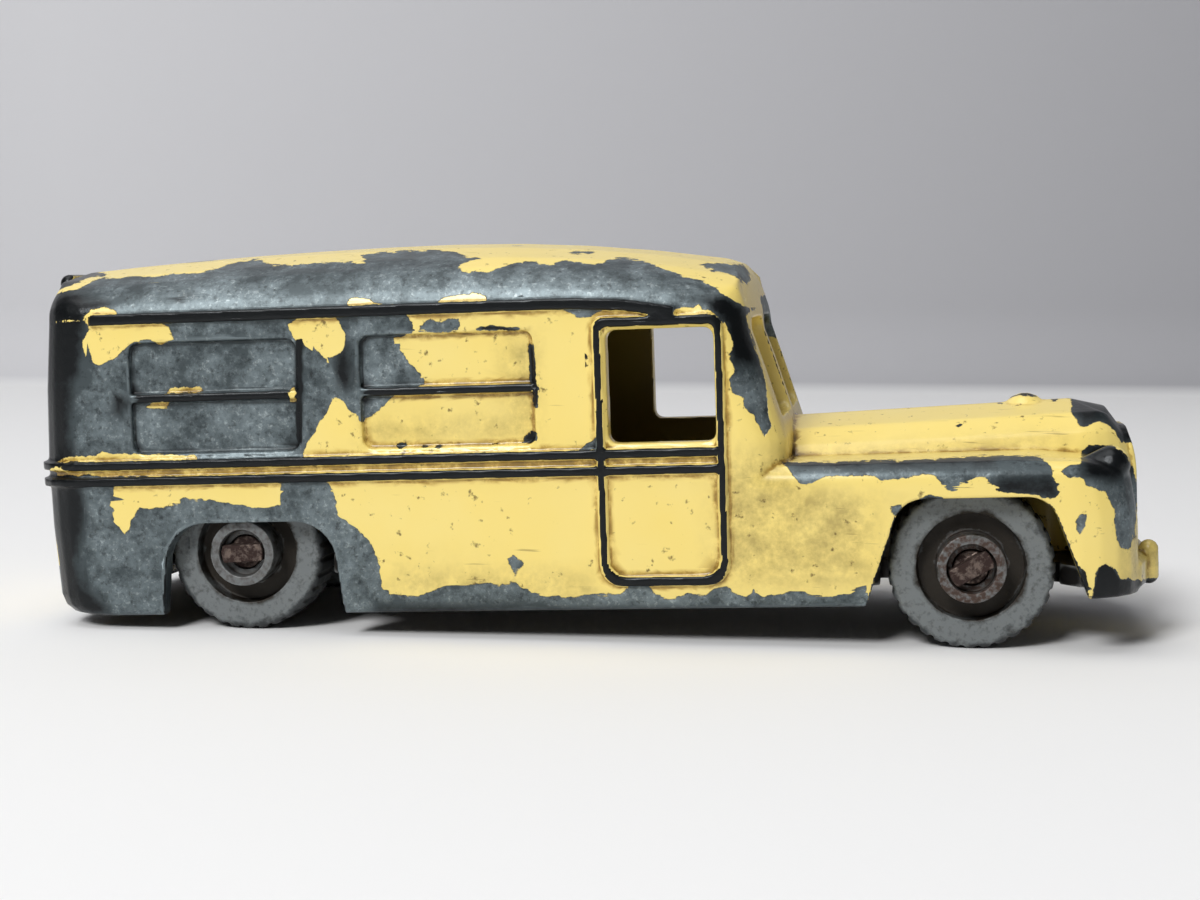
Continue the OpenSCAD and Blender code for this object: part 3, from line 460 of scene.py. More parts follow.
# Wear on the right side; later patches lie over earlier ones
NEAR_WEAR: tuple[tuple[Mark, Outline], ...] = (
    # Shoulder of the roof from the rear to the windscreen post, down to the rain rail
    (Mark.BARED, (
        (-26.0, 14.9), (-23.7, 15.35), (-22.6, 15.65), (-21.7, 16.1), (-19.5, 16.1), (-18.2, 16.25), (-17.0, 16.3),
        (-15.0, 16.85), (-14.2, 16.9), (-13.6, 16.6), (-11.5, 16.75), (-10.0, 16.8), (-9.3, 16.6), (-9.6, 17.1),
        (-7.5, 17.3), (-5.5, 17.32), (-4.9, 17.0), (-4.2, 16.95), (-5.2, 16.65), (-5.0, 16.35), (-3.9, 16.35),
        (-2.6, 16.75), (-1.9, 16.8), (-1.0, 16.65), (-0.3, 16.85), (1.1, 16.65), (1.6, 16.95), (2.5, 17.0),
        (3.4, 16.65), (4.7, 16.2), (5.9, 15.85), (6.9, 15.1), (7.4, 14.85), (7.9, 14.8), (7.45, 14.5), (7.8, 13.4),
        (8.2, 12.2), (8.45, 10.9), (8.4, 10.3), (8.6, 9.7), (8.3, 9.2), (8.0, 9.8), (7.9, 10.2), (7.4, 10.5),
        (7.4, 11.0), (6.95, 11.1), (6.8, 11.7), (7.05, 12.15), (6.75, 12.8), (6.95, 13.2), (6.65, 14.1), (6.2, 14.5),
        (5.6, 14.7), (5.5, 14.9), (4.9, 14.85), (4.2, 14.6), (3.0, 14.85), (2.0, 15.05), (0.0, 15.1), (-4.0, 15.0),
        (-10.0, 14.8), (-16.0, 14.5), (-22.0, 14.2), (-26.0, 14.0),
    )),
    # Rear quarter above the belt, as far as the middle window
    (Mark.BARED, (
        (-26.0, 14.0), (-16.0, 14.5), (-10.0, 14.8), (-7.5, 14.85), (-7.5, 14.45), (-7.25, 14.1), (-7.3, 13.65),
        (-8.1, 13.45), (-8.05, 13.15), (-7.5, 12.5), (-7.15, 12.35), (-6.65, 11.4), (-8.0, 11.0), (-8.6, 10.4),
        (-9.7, 9.6), (-9.85, 10.1), (-10.5, 10.4), (-10.75, 11.0), (-11.0, 10.5), (-11.35, 10.0), (-11.65, 9.2),
        (-12.3, 8.5), (-12.3, 7.9), (-26.0, 7.4),
    )),
    # Rear quarter below the belt, round the arch and along the sill to the front arch
    (Mark.BARED, (
        (-26.0, 7.1), (-11.3, 7.1), (-10.9, 6.6), (-10.75, 6.1), (-10.85, 5.5), (-10.0, 5.0), (-9.4, 4.5),
        (-9.0, 3.7), (-8.75, 3.1), (-8.8, 2.3), (-8.5, 1.9), (-7.0, 1.95), (-6.2, 2.25), (-5.6, 2.55), (-4.3, 2.5),
        (-3.8, 2.35), (-3.0, 2.8), (-2.4, 2.5), (-1.9, 2.15), (0.0, 2.0), (0.6, 2.2), (1.3, 2.1), (2.3, 2.45),
        (2.5, 2.7), (3.2, 2.7), (3.5, 2.35), (4.1, 2.1), (5.3, 2.35), (5.8, 2.2), (6.1, 2.55), (6.8, 2.7),
        (7.1, 2.35), (7.65, 2.2), (7.85, 2.7), (8.1, 2.4), (8.4, 2.15), (9.0, 2.4), (10.0, 2.6), (10.7, 2.3),
        (11.3, 2.5), (11.7, 2.3), (12.1, 2.5), (12.7, 3.0), (13.0, 1.0), (-26.0, 0.0),
    )),
    # Enamel that held on the rear quarter
    (Mark.HELD, (
        (-22.55, 14.35), (-22.2, 14.6), (-21.6, 14.75), (-21.1, 14.7), (-20.95, 14.45), (-18.9, 14.05),
        (-18.4, 13.85), (-18.3, 13.3), (-19.0, 13.1), (-19.5, 13.25), (-20.4, 13.1), (-21.05, 12.5), (-21.8, 12.05),
        (-22.5, 12.4), (-22.65, 13.15), (-22.2, 13.9),
    )),
    (Mark.HELD, (
        (-12.95, 14.0), (-12.4, 14.38), (-10.95, 14.38), (-10.6, 14.2), (-10.3, 13.5), (-10.4, 12.8), (-11.3, 12.45),
        (-11.4, 12.75), (-12.0, 12.9), (-12.7, 13.5),
    )),
    (Mark.HELD, ((-10.2, 14.9), (-10.1, 15.2), (-9.4, 15.2), (-8.7, 14.95), (-9.5, 14.8))),
    (Mark.HELD, ((-6.05, 15.0), (-5.7, 15.25), (-4.3, 15.4), (-3.9, 15.3), (-3.9, 15.0))),
    (Mark.HELD, (
        (-24.0, 7.7), (-23.4, 7.95), (-22.2, 8.0), (-21.8, 8.2), (-21.2, 8.1), (-17.35, 8.08), (-17.3, 7.9),
        (-20.0, 7.7),
    )),
    (Mark.HELD, (
        (-21.2, 6.95), (-21.3, 6.3), (-21.55, 5.3), (-21.2, 4.7), (-20.75, 4.38), (-20.5, 4.7), (-20.45, 5.1),
        (-20.1, 5.6), (-19.2, 5.9), (-18.6, 5.4), (-18.35, 5.7), (-18.0, 6.2), (-17.8, 6.2), (-17.6, 5.9),
        (-16.9, 5.9), (-16.4, 6.3), (-15.8, 6.25), (-15.6, 5.9), (-14.4, 5.8), (-13.9, 5.6), (-13.45, 5.75),
        (-13.4, 7.1), (-18.0, 7.0),
    )),
    # Pale metal in the windows' panels, on the sill, along the roof's shoulder and behind the headlamp
    (Mark.PALED, ((-20.6, 8.6), (-20.6, 13.3), (-12.7, 13.5), (-12.7, 8.7))),
    (Mark.PALED, ((-9.7, 11.0), (-9.7, 13.3), (-7.0, 13.3), (-6.6, 11.2))),
    (Mark.PALED, ((-8.6, 1.75), (-8.6, 2.4), (12.5, 2.7), (12.5, 1.9))),
    (Mark.PALED, ((-12.0, 15.6), (-4.0, 16.0), (2.5, 16.1), (2.5, 15.7), (-4.0, 15.5), (-12.0, 15.2))),
    (Mark.PALED, ((20.85, 7.9), (21.3, 8.2), (21.8, 8.1), (21.8, 7.7), (21.2, 7.65))),
    # Rear and front edges of the roof
    (Mark.BLACKENED, ((-26.0, 15.4), (-23.6, 15.55), (-22.4, 16.05), (-21.3, 16.25), (-22.0, 16.4), (-26.0, 16.6))),
    (Mark.BARED, (
        (5.4, 16.7), (6.6, 16.72), (7.3, 16.65), (7.6, 16.4), (7.65, 15.95), (7.45, 15.8), (7.2, 16.05), (6.8, 16.25),
        (6.0, 16.4),
    )),
    (Mark.BARED, ((-0.5, 17.2), (0.2, 17.28), (1.15, 17.2), (0.3, 17.13))),
    # Chips round the middle window and the door
    (Mark.BARED, (
        (-6.9, 13.75), (-6.7, 14.2), (-6.45, 14.3), (-5.95, 14.1), (-5.6, 14.3), (-5.2, 14.3), (-5.1, 14.05),
        (-5.25, 13.8),
    )),
    (Mark.BLACKENED, ((-4.35, 13.85), (-4.0, 14.0), (-3.4, 14.0), (-2.5, 13.87), (-2.6, 13.75))),
    (Mark.BLACKENED, ((-2.05, 13.3), (-1.8, 13.1), (-1.6, 11.0), (-1.65, 10.45), (-1.85, 10.4), (-1.95, 11.6))),
    (Mark.BLACKENED, ((-2.4, 8.85), (-1.95, 9.5), (-1.7, 9.3), (-1.75, 8.9))),
    (Mark.BLACKENED, ((-8.1, 8.6), (-7.8, 8.5), (-7.4, 8.78), (-8.0, 8.75))),
    (Mark.BLACKENED, ((-6.9, 8.58), (-6.6, 8.6), (-6.65, 8.7), (-6.9, 8.68))),
    (Mark.BLACKENED, ((-6.25, 8.62), (-5.65, 8.68), (-6.2, 8.72))),
    (Mark.BLACKENED, ((-4.25, 8.62), (-3.9, 8.72), (-3.3, 8.85), (-3.8, 8.8))),
    (Mark.BARED, (
        (-0.7, 14.9), (-0.1, 14.5), (0.1, 14.33), (0.45, 14.33), (0.9, 14.6), (1.9, 14.8), (2.5, 14.95), (0.0, 15.1),
    )),
    (Mark.BARED, ((0.15, 8.5), (0.4, 8.8), (1.05, 9.2), (1.1, 8.5))),
    (Mark.BARED, ((-3.4, 3.6), (-2.9, 4.1), (-2.75, 3.92), (-2.3, 4.02), (-2.35, 3.6), (-2.85, 3.52))),
    (Mark.BLACKENED, ((0.15, 4.55), (0.4, 4.72), (0.7, 4.6), (0.4, 4.4))),
    # Crest of the wing, and chips by its arch
    (Mark.BARED, (
        (9.0, 8.15), (11.0, 8.2), (14.0, 8.32), (16.0, 8.42), (18.0, 8.58), (20.0, 8.58), (20.45, 8.1), (20.5, 7.7),
        (20.85, 7.15), (20.7, 6.75), (20.0, 6.9), (18.3, 7.0), (17.75, 7.6), (16.9, 7.55), (16.5, 6.95), (16.05, 7.1),
        (15.6, 7.65), (15.0, 7.75), (13.4, 7.4), (12.6, 7.65), (11.0, 7.6), (10.2, 7.2), (9.9, 7.25), (9.4, 7.85),
    )),
    (Mark.BARED, ((13.45, 6.7), (13.65, 6.9), (14.0, 6.9), (14.25, 6.2), (13.85, 5.9))),
    (Mark.BLACKENED, ((14.9, 6.5), (15.3, 6.82), (15.9, 6.7), (15.7, 6.45), (15.1, 6.3))),
    (Mark.BARED, ((21.5, 5.9), (21.65, 6.18), (21.95, 6.1), (21.9, 5.6), (21.65, 5.2))),
    # Nose, cap, headlamp with the wing's front, and bumper
    (Mark.BARED, (
        (21.2, 11.2), (21.25, 10.5), (21.55, 9.85), (21.9, 9.8), (22.2, 10.05), (22.7, 9.95), (23.1, 9.6), (23.3, 9.2),
        (24.5, 9.0), (23.0, 11.2),
    )),
    (Mark.BLACKENED, (
        (18.2, 10.72), (18.55, 10.95), (19.1, 11.12), (19.7, 11.14), (20.3, 11.0), (20.6, 10.85), (20.9, 11.6),
        (18.0, 11.6),
    )),
    (Mark.BARED, (
        (21.7, 8.85), (22.0, 9.08), (22.9, 9.08), (23.4, 8.8), (23.8, 8.2), (24.1, 7.0), (24.0, 6.3), (23.97, 5.2),
        (23.75, 4.7), (23.4, 4.7), (23.15, 5.2), (23.1, 6.2), (22.7, 7.1), (22.0, 7.35), (21.8, 7.6), (21.2, 7.7),
        (20.85, 7.95), (21.2, 8.2), (21.7, 8.25),
    )),
    (Mark.BLACKENED, (
        (22.2, 2.4), (22.45, 3.9), (22.8, 4.1), (23.1, 3.9), (23.4, 3.4), (24.1, 3.38), (25.1, 3.5), (25.2, 2.4),
    )),
    (Mark.BLACKENED, ((21.7, 3.9), (22.0, 3.7), (22.2, 2.9), (21.8, 2.8))),
    (Mark.BLACKENED, ((16.4, 9.85), (16.7, 9.92), (16.75, 9.78), (16.5, 9.75))),
    # Rails across the side windows, the rear window's front edge and hair scratches by the door
    (Mark.RUBBED, ((-20.2, 10.3), (-20.2, 11.3), (-12.5, 11.5), (-12.5, 10.5))),
    (Mark.RUBBED, ((-9.5, 10.6), (-9.5, 11.6), (-1.9, 11.8), (-1.9, 10.8))),
    (Mark.HELD, ((-18.75, 10.85), (-18.5, 11.16), (-17.0, 11.2), (-16.9, 11.0), (-17.9, 10.95))),
    (Mark.HELD, ((-19.8, 10.2), (-19.4, 10.5), (-18.6, 10.5), (-18.7, 10.18), (-19.3, 10.12))),
    (Mark.HELD, ((-13.05, 10.95), (-12.7, 11.2), (-12.6, 10.6), (-12.8, 10.3))),
    (Mark.SCORED, ((-12.62, 8.75), (-12.4, 8.75), (-12.3, 13.4), (-12.55, 13.45))),
    (Mark.SCORED, ((0.08, 13.25), (0.42, 12.7), (0.72, 12.28), (0.78, 12.33), (0.46, 12.82))),
    (Mark.SCORED, ((-0.95, 12.08), (-0.25, 12.48), (-0.2, 12.54), (-0.9, 12.2))),
    (Mark.SCORED, ((0.18, 12.08), (0.74, 12.42), (0.76, 12.48), (0.2, 12.18))),
    (Mark.SCORED, ((-0.36, 10.44), (-0.28, 10.48), (-0.12, 10.3), (-0.16, 10.2), (-0.24, 10.26))),
    (Mark.HELD, ((-11.5, 4.5), (-11.2, 4.0), (-11.05, 3.3), (-10.95, 2.7), (-11.2, 2.7), (-11.32, 3.3), (-11.5, 4.0))),
    (Mark.HELD, ((-18.25, 4.1), (-18.0, 4.1), (-18.0, 3.7), (-18.25, 3.75))),
    # Thin dirt on the enamel: before the door, along the sill, where bonnet and wing meet, in the middle window's
    # panels and on the bumper's end
    (Mark.SOILED, (
        (6.3, 2.9), (6.3, 7.6), (7.4, 8.6), (8.6, 8.4), (9.6, 7.2), (13.2, 6.6), (12.9, 3.2), (11.0, 2.8),
    )),
    (Mark.SOILED, ((-8.4, 2.1), (-7.6, 3.1), (0.6, 3.0), (0.8, 2.2))),
    (Mark.SOILED, ((9.0, 8.5), (20.8, 9.35), (20.8, 9.0), (9.2, 8.25))),
    (Mark.SOILED, ((-9.6, 8.9), (-9.6, 9.6), (-2.0, 9.9), (-2.0, 9.2))),
    (Mark.SOILED, ((-2.9, 9.2), (-2.9, 13.4), (-1.8, 13.4), (-1.8, 9.2))),
    (Mark.SOILED, ((23.6, 3.2), (23.6, 5.6), (25.8, 5.6), (25.8, 3.2))),
    # Black oxide on the bare metal, and painted shade along the sill's lower edge where it turns under
    (Mark.DULLED, (
        (-26.0, 16.6), (-23.6, 15.5), (-22.0, 15.2), (-21.2, 14.9), (-22.4, 14.4), (-22.6, 13.0), (-22.9, 11.8),
        (-23.4, 10.5), (-23.3, 8.5), (-23.0, 7.0), (-22.6, 5.5), (-22.9, 4.2), (-23.2, 3.0), (-22.6, 1.8), (-21.5, 0.8),
        (-26.0, 0.0),
    )),
    # Sill's lower edge, where it turns under: the black here is painted shade
    (Mark.DULLED, ((-9.0, 1.0), (-9.0, 1.4), (12.8, 1.65), (12.8, 1.1))),
    (Mark.DULLED, ((-21.6, 10.4), (-21.2, 10.9), (-20.5, 10.5), (-20.6, 10.0), (-21.2, 10.0))),
    (Mark.DULLED, ((-18.4, 15.1), (-18.1, 15.5), (-17.7, 15.3), (-17.9, 15.0))),
    (Mark.DULLED, ((-10.7, 13.0), (-10.1, 13.2), (-9.9, 11.5), (-10.3, 11.0), (-10.8, 11.8))),
    (Mark.DULLED, (
        (5.6, 15.2), (6.6, 15.3), (7.4, 14.8), (7.8, 13.4), (8.1, 12.4), (7.0, 12.4), (6.8, 13.0), (6.6, 14.1),
        (6.2, 14.6),
    )),
    (Mark.DULLED, ((18.0, 7.0), (18.5, 7.6), (20.3, 7.7), (20.8, 7.2), (20.7, 6.8))),
    (Mark.DULLED, ((9.3, 8.25), (18.0, 8.55), (18.0, 8.15), (9.8, 7.9))),
    (Mark.DULLED, ((21.7, 9.1), (23.6, 9.1), (23.9, 8.0), (23.0, 7.6), (21.8, 7.8))),
    (Mark.DULLED, ((21.2, 11.2), (21.3, 10.4), (21.8, 10.0), (22.6, 10.3), (23.4, 9.3), (24.5, 9.0), (24.0, 11.2))),
)

# Wear on the sides that the photograph doesn't show: the same edges suffer, in other places
HIDDEN_WEAR: tuple[Patch, ...] = (
    Patch(Side.FAR, Mark.BARED, (
        (-26.0, 14.0), (-25.0, 15.2), (-22.0, 16.3), (-14.0, 16.9), (-9.0, 16.4), (-2.0, 17.1), (4.0, 16.6),
        (7.5, 15.2), (8.2, 13.0), (7.2, 13.2), (6.3, 14.7), (3.0, 15.2), (-6.0, 15.0), (-16.0, 14.7),
    )),
    Patch(Side.FAR, Mark.BARED, (
        (-26.0, 14.2), (-23.0, 13.8), (-22.4, 11.0), (-23.2, 9.0), (-21.8, 6.5), (-20.2, 4.0), (-19.8, 1.0),
        (-26.0, 0.0),
    )),
    Patch(Side.FAR, Mark.BARED, (
        (-26.0, 1.8), (-19.5, 2.4), (-12.0, 3.8), (-9.8, 3.4), (-8.9, 2.2), (-3.0, 2.4), (1.0, 2.0), (6.0, 2.5),
        (12.8, 2.2), (13.0, 0.0), (-26.0, 0.0),
    )),
    Patch(Side.FAR, Mark.BARED, (
        (-18.5, 13.3), (-17.9, 13.75), (-16.9, 13.5), (-16.1, 13.8), (-15.2, 13.5), (-15.4, 12.9), (-14.8, 12.5),
        (-15.6, 12.3), (-16.0, 11.7), (-16.8, 12.1), (-17.3, 12.0), (-17.6, 12.6), (-18.3, 12.5),
    )),
    Patch(Side.FAR, Mark.BARED, (
        (-9.5, 10.0), (-9.0, 10.5), (-8.4, 10.3), (-7.7, 10.7), (-7.3, 10.2), (-7.6, 9.8), (-7.0, 9.3), (-7.9, 9.2),
        (-8.3, 8.8), (-8.9, 9.0), (-8.8, 9.5),
    )),
    Patch(Side.FAR, Mark.BARED, (
        (9.0, 8.2), (20.0, 8.7), (21.0, 7.6), (18.5, 7.2), (16.5, 7.6), (14.6, 7.3), (12.0, 7.8), (10.2, 7.5),
    )),
    Patch(Side.FAR, Mark.BLACKENED, ((21.5, 9.1), (24.5, 9.0), (24.6, 5.0), (23.4, 5.4), (23.0, 6.8), (21.4, 7.5))),
    Patch(Side.FAR, Mark.BLACKENED, ((22.0, 2.2), (22.6, 3.6), (24.0, 3.5), (26.0, 3.6), (26.0, 2.2))),
    Patch(Side.FAR, Mark.BLACKENED, ((21.5, 11.3), (21.8, 10.3), (22.6, 9.9), (24.5, 9.3), (24.5, 11.3))),
    Patch(Side.FAR, Mark.BARED, (
        (-5.3, 5.1), (-4.9, 5.45), (-4.3, 5.5), (-3.9, 5.3), (-3.7, 4.9), (-3.9, 4.55), (-4.4, 4.45), (-4.9, 4.55),
        (-5.2, 4.75),
    )),
    Patch(Side.FAR, Mark.DULLED, (
        (-26.0, 17.0), (-23.4, 15.0), (-23.6, 8.0), (-22.8, 4.0), (-22.5, 0.0), (-26.0, 0.0),
    )),
    Patch(Side.REAR, Mark.BARED, (
        (-9.0, 3.0), (-6.5, 2.6), (0.0, 2.0), (6.0, 2.8), (9.0, 3.2), (9.0, 0.0), (-9.0, 0.0),
    )),
    Patch(Side.REAR, Mark.BLACKENED, ((-9.0, 16.5), (-6.6, 15.0), (-6.2, 11.0), (-6.9, 8.0), (-6.1, 5.0), (-9.0, 2.5))),
    Patch(Side.REAR, Mark.BLACKENED, ((9.0, 16.5), (6.8, 15.0), (6.4, 12.0), (7.0, 9.0), (6.3, 6.0), (9.0, 2.5))),
    Patch(Side.REAR, Mark.BLACKENED, ((-5.5, 15.6), (5.5, 15.6), (5.5, 17.5), (-5.5, 17.5))),
    Patch(Side.REAR, Mark.BARED, (
        (-2.6, 5.0), (-2.2, 5.4), (-1.6, 5.5), (-1.1, 5.35), (-0.7, 5.45), (-0.55, 5.1), (-0.75, 4.7), (-1.3, 4.55),
        (-1.7, 4.3), (-2.2, 4.35), (-2.45, 4.65),
    )),
    Patch(Side.REAR, Mark.BARED, (
        (2.2, 11.5), (2.5, 11.85), (3.1, 11.9), (3.7, 12.15), (4.05, 11.9), (4.15, 11.3), (3.9, 10.9), (3.3, 10.85),
        (2.9, 10.6), (2.5, 10.75), (2.3, 11.1),
    )),
    Patch(Side.FAR, Mark.SOILED, ((6.4, 2.8), (6.6, 8.0), (9.4, 7.4), (13.0, 6.4), (12.8, 3.0))),
    Patch(Side.FAR, Mark.SOILED, ((-20.0, 8.8), (-20.0, 10.0), (-12.6, 10.2), (-12.6, 9.0))),
    Patch(Side.ROOF, Mark.BARED, (
        (-15.2, 5.6), (-14.6, 4.3), (-13.8, 4.0), (-13.3, 3.1), (-12.5, 3.4), (-12.0, 2.8), (-11.3, 3.3), (-11.4, 4.0),
        (-10.5, 4.2), (-9.6, 4.0), (-9.2, 4.6), (-8.3, 4.8), (-8.0, 5.6),
    )),
    Patch(Side.ROOF, Mark.BARED, (
        (1.4, 0.9), (1.8, 1.25), (2.4, 1.35), (2.9, 1.5), (3.2, 1.2), (3.3, 0.7), (3.0, 0.35), (2.4, 0.3), (1.8, 0.4),
    )),
    Patch(Side.ROOF, Mark.BARED, (
        (-20.6, -1.0), (-20.2, -0.6), (-19.6, -0.5), (-19.0, -0.6), (-18.6, -1.0), (-18.7, -1.4), (-19.3, -1.6),
        (-19.9, -1.7), (-20.4, -1.4),
    )),
    Patch(Side.ROOF, Mark.BARED, ((-4.9, -2.4), (-4.4, -2.0), (-3.9, -2.2), (-3.5, -1.9), (-3.6, -2.6), (-4.3, -2.8))),
)

WEAR: tuple[Patch, ...] = tuple(Patch(Side.NEAR, mark, outline) for mark, outline in NEAR_WEAR) + HIDDEN_WEAR


@dataclass(frozen=True)
class Fade:
    """How a mark fades out across its outline: depths where it starts and is full, in millimetres, and its strength."""

    start: float
    full: float
    strength: float = 1.0

    def at(self, depth: np.ndarray) -> np.ndarray:
        """Returns the mark's strength at depths inside the outline."""
        return self.strength * rise(depth, self.start, self.full)


FADES = {
    Mark.PALED: Fade(-0.1, 0.4),
    Mark.SCORED: Fade(-0.12, 0.04),
    Mark.BLACKENED: Fade(-0.3, 0.3),
    Mark.DULLED: Fade(-0.8, 0.55, 0.78),
    Mark.SOILED: Fade(-0.8, 0.8),
    Mark.RUBBED: Fade(-0.1, 0.1),
}


@dataclass(frozen=True)
class Relief:
    """How far a dense skin stands out of its surroundings, kept as means over small cells, in millimetres."""

    low: np.ndarray
    cell: float
    heights: np.ndarray

    @classmethod
    def over(cls, points: np.ndarray, ridge: np.ndarray, cell: float) -> "Relief":
        """Gathers a skin's ridges into cells.

        Args:
            points: the skin's points, one to a row.
            ridge: how far each stands out.
            cell: the side of a cell.

        Returns:
            The relief.
        """
        low = points.min(axis=0)
        rows = ((points - low) / cell).astype(int)
        shape = tuple(rows.max(axis=0) + 1)
        place = np.ravel_multi_index(rows.T, shape)
        size = math.prod(int(n) for n in shape)
        total = np.bincount(place, ridge, minlength=size)
        count = np.bincount(place, minlength=size)
        return cls(low, cell, (total / np.maximum(count, 1)).reshape(shape))

    def at(self, points: np.ndarray) -> np.ndarray:
        """Returns how far the skin stands out at points, one to a row."""
        rows = np.clip(((points - self.low) / self.cell).astype(int), 0, np.array(self.heights.shape) - 1)
        return self.heights[tuple(rows.T)]


@dataclass(frozen=True)
class CastSkin:
    """How finely a casting's skin is drawn: voxel size in millimetres, softening steps and triangles."""

    voxel: float
    soften: int
    triangles: int
    # Steps of smoothing against which ridges and hollows are measured
    blur: int = 24
    # Steps of smoothing on broad surfaces, away from edges and raised lines
    calm: int = 0
    # Ridges between which a surface stops being broad, and the levels in which the smoothing is shared out
    broad: tuple[float, float] = (0.008, 0.02)
    levels: int = 8

    def settle(self, piece: bpy.types.Object) -> None:
        """Applies a piece's modifiers to its mesh."""
        graph = bpy.context.evaluated_depsgraph_get()
        settled = bpy.data.meshes.new_from_object(piece.evaluated_get(graph))
        piece.modifiers.clear()
        piece.data = settled

    def smooth(self, piece: bpy.types.Object, steps: int, group: str = "") -> None:
        """Adds a smoothing modifier of some steps, kept to a vertex group where one is named."""
        soft = piece.modifiers.new("soften", "SMOOTH")
        soft.factor = 0.5
        soft.iterations = steps
        soft.vertex_group = group

    def calm_down(self, piece: bpy.types.Object, ridge: np.ndarray) -> None:
        """Smooths the broad surfaces until no facet shows.

        Args:
            piece: the dense skin.
            ridge: how far each point stands out; what stands out or lies in is left alone.
        """
        group = piece.vertex_groups.new(name="broad")
        shares = np.round(self.levels * (1.0 - rise(np.abs(ridge), *self.broad))).astype(int)
        for level in range(1, self.levels + 1):
            group.add(np.flatnonzero(shares == level).tolist(), level / self.levels, "REPLACE")
        self.smooth(piece, self.calm, group.name)
        self.settle(piece)
        piece.vertex_groups.clear()

    def draw(self, node: str) -> tuple[bpy.types.Object, Relief]:
        """Makes a softened copy of a CAD node, as metal comes out of a die, with its ridges measured.

        Args:
            node: the CAD node's name.

        Returns:
            The new piece, in millimetres, with a ridge attribute, positive on edges and negative in hollows, and
            the same ridges as a relief.
        """
        mesh = frame["nodes"][node].data.copy()
        mesh.materials.clear()
        piece = bpy.data.objects.new(node + "_skin", mesh)
        bpy.context.scene.collection.objects.link(piece)
        work = bmesh.new()
        work.from_mesh(mesh)
        bmesh.ops.scale(work, vec=(PER_MM, PER_MM, PER_MM), verts=work.verts)
        bmesh.ops.remove_doubles(work, verts=work.verts, dist=1e-5)
        work.to_mesh(mesh)
        work.free()
        remesh = piece.modifiers.new("recast", "REMESH")
        remesh.mode = "VOXEL"
        remesh.voxel_size = self.voxel
        self.smooth(piece, self.soften)
        self.settle(piece)
        sharp = coordinates(piece.data)
        facing = directions(piece.data)
        self.smooth(piece, self.blur)
        graph = bpy.context.evaluated_depsgraph_get()
        blurred = coordinates(piece.evaluated_get(graph).data)
        piece.modifiers.clear()
        ridge = ((sharp - blurred) * facing).sum(axis=1)
        write(piece.data, "ridge", ridge)
        if self.calm:
            self.calm_down(piece, ridge)
        relief = Relief.over(coordinates(piece.data), ridge, 2 * self.voxel)
        faces = 2 * len(piece.data.polygons)
        if faces > self.triangles:
            thin = piece.modifiers.new("thin", "DECIMATE")
            thin.ratio = self.triangles / faces
            thin.use_collapse_triangulate = True
            self.settle(piece)
        return piece, relief


def coordinates(mesh: bpy.types.Mesh) -> np.ndarray:
    """Returns a mesh's vertices, one to a row."""
    flat = np.empty(3 * len(mesh.vertices), np.float32)
    mesh.vertices.foreach_get("co", flat)
    return flat.reshape(-1, 3).astype(float)


def directions(mesh: bpy.types.Mesh) -> np.ndarray:
    """Returns the directions that a mesh's vertices face, one to a row."""
    flat = np.empty(3 * len(mesh.vertices), np.float32)
    mesh.vertex_normals.foreach_get("vector", flat)
    return flat.reshape(-1, 3).astype(float)


def write(mesh: bpy.types.Mesh, name: str, values: np.ndarray) -> None:
    """Writes one number to each vertex, as a named attribute."""
    layer = mesh.attributes.get(name) or mesh.attributes.new(name, "FLOAT", "POINT")
    layer.data.foreach_set("value", values.astype(np.float32))


def rise(values: np.ndarray, low: float, high: float) -> np.ndarray:
    """Rises smoothly from 0 at low to 1 at high."""
    share = np.clip((values - low) / (high - low), 0.0, 1.0)
    return share * share * (3.0 - 2.0 * share)


def put_down(piece: bpy.types.Object, node: str, body: str, finish: Finish) -> None:
    """Brings a finished piece back to metres, dresses it and sets it in the frame.

    Args:
        piece: the piece, in millimetres.
        node: the CAD node that it stands for.
        body: the body that it rides on.
        finish: its finish.
    """
    work = bmesh.new()
    work.from_mesh(piece.data)
    bmesh.ops.scale(work, vec=(MM, MM, MM), verts=work.verts)
    low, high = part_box(node)
    for vert in work.verts:
        vert.co = [min(max(c, a), b) for c, a, b in zip(vert.co, low, high)]
    work.to_mesh(piece.data)
    work.free()
    piece.data.shade_smooth()
    piece.data.materials.append(finish.material())
    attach(piece, body)
    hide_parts(node)
    log.info("%s: %d triangles on %s", piece.name, len(piece.data.polygons), body)


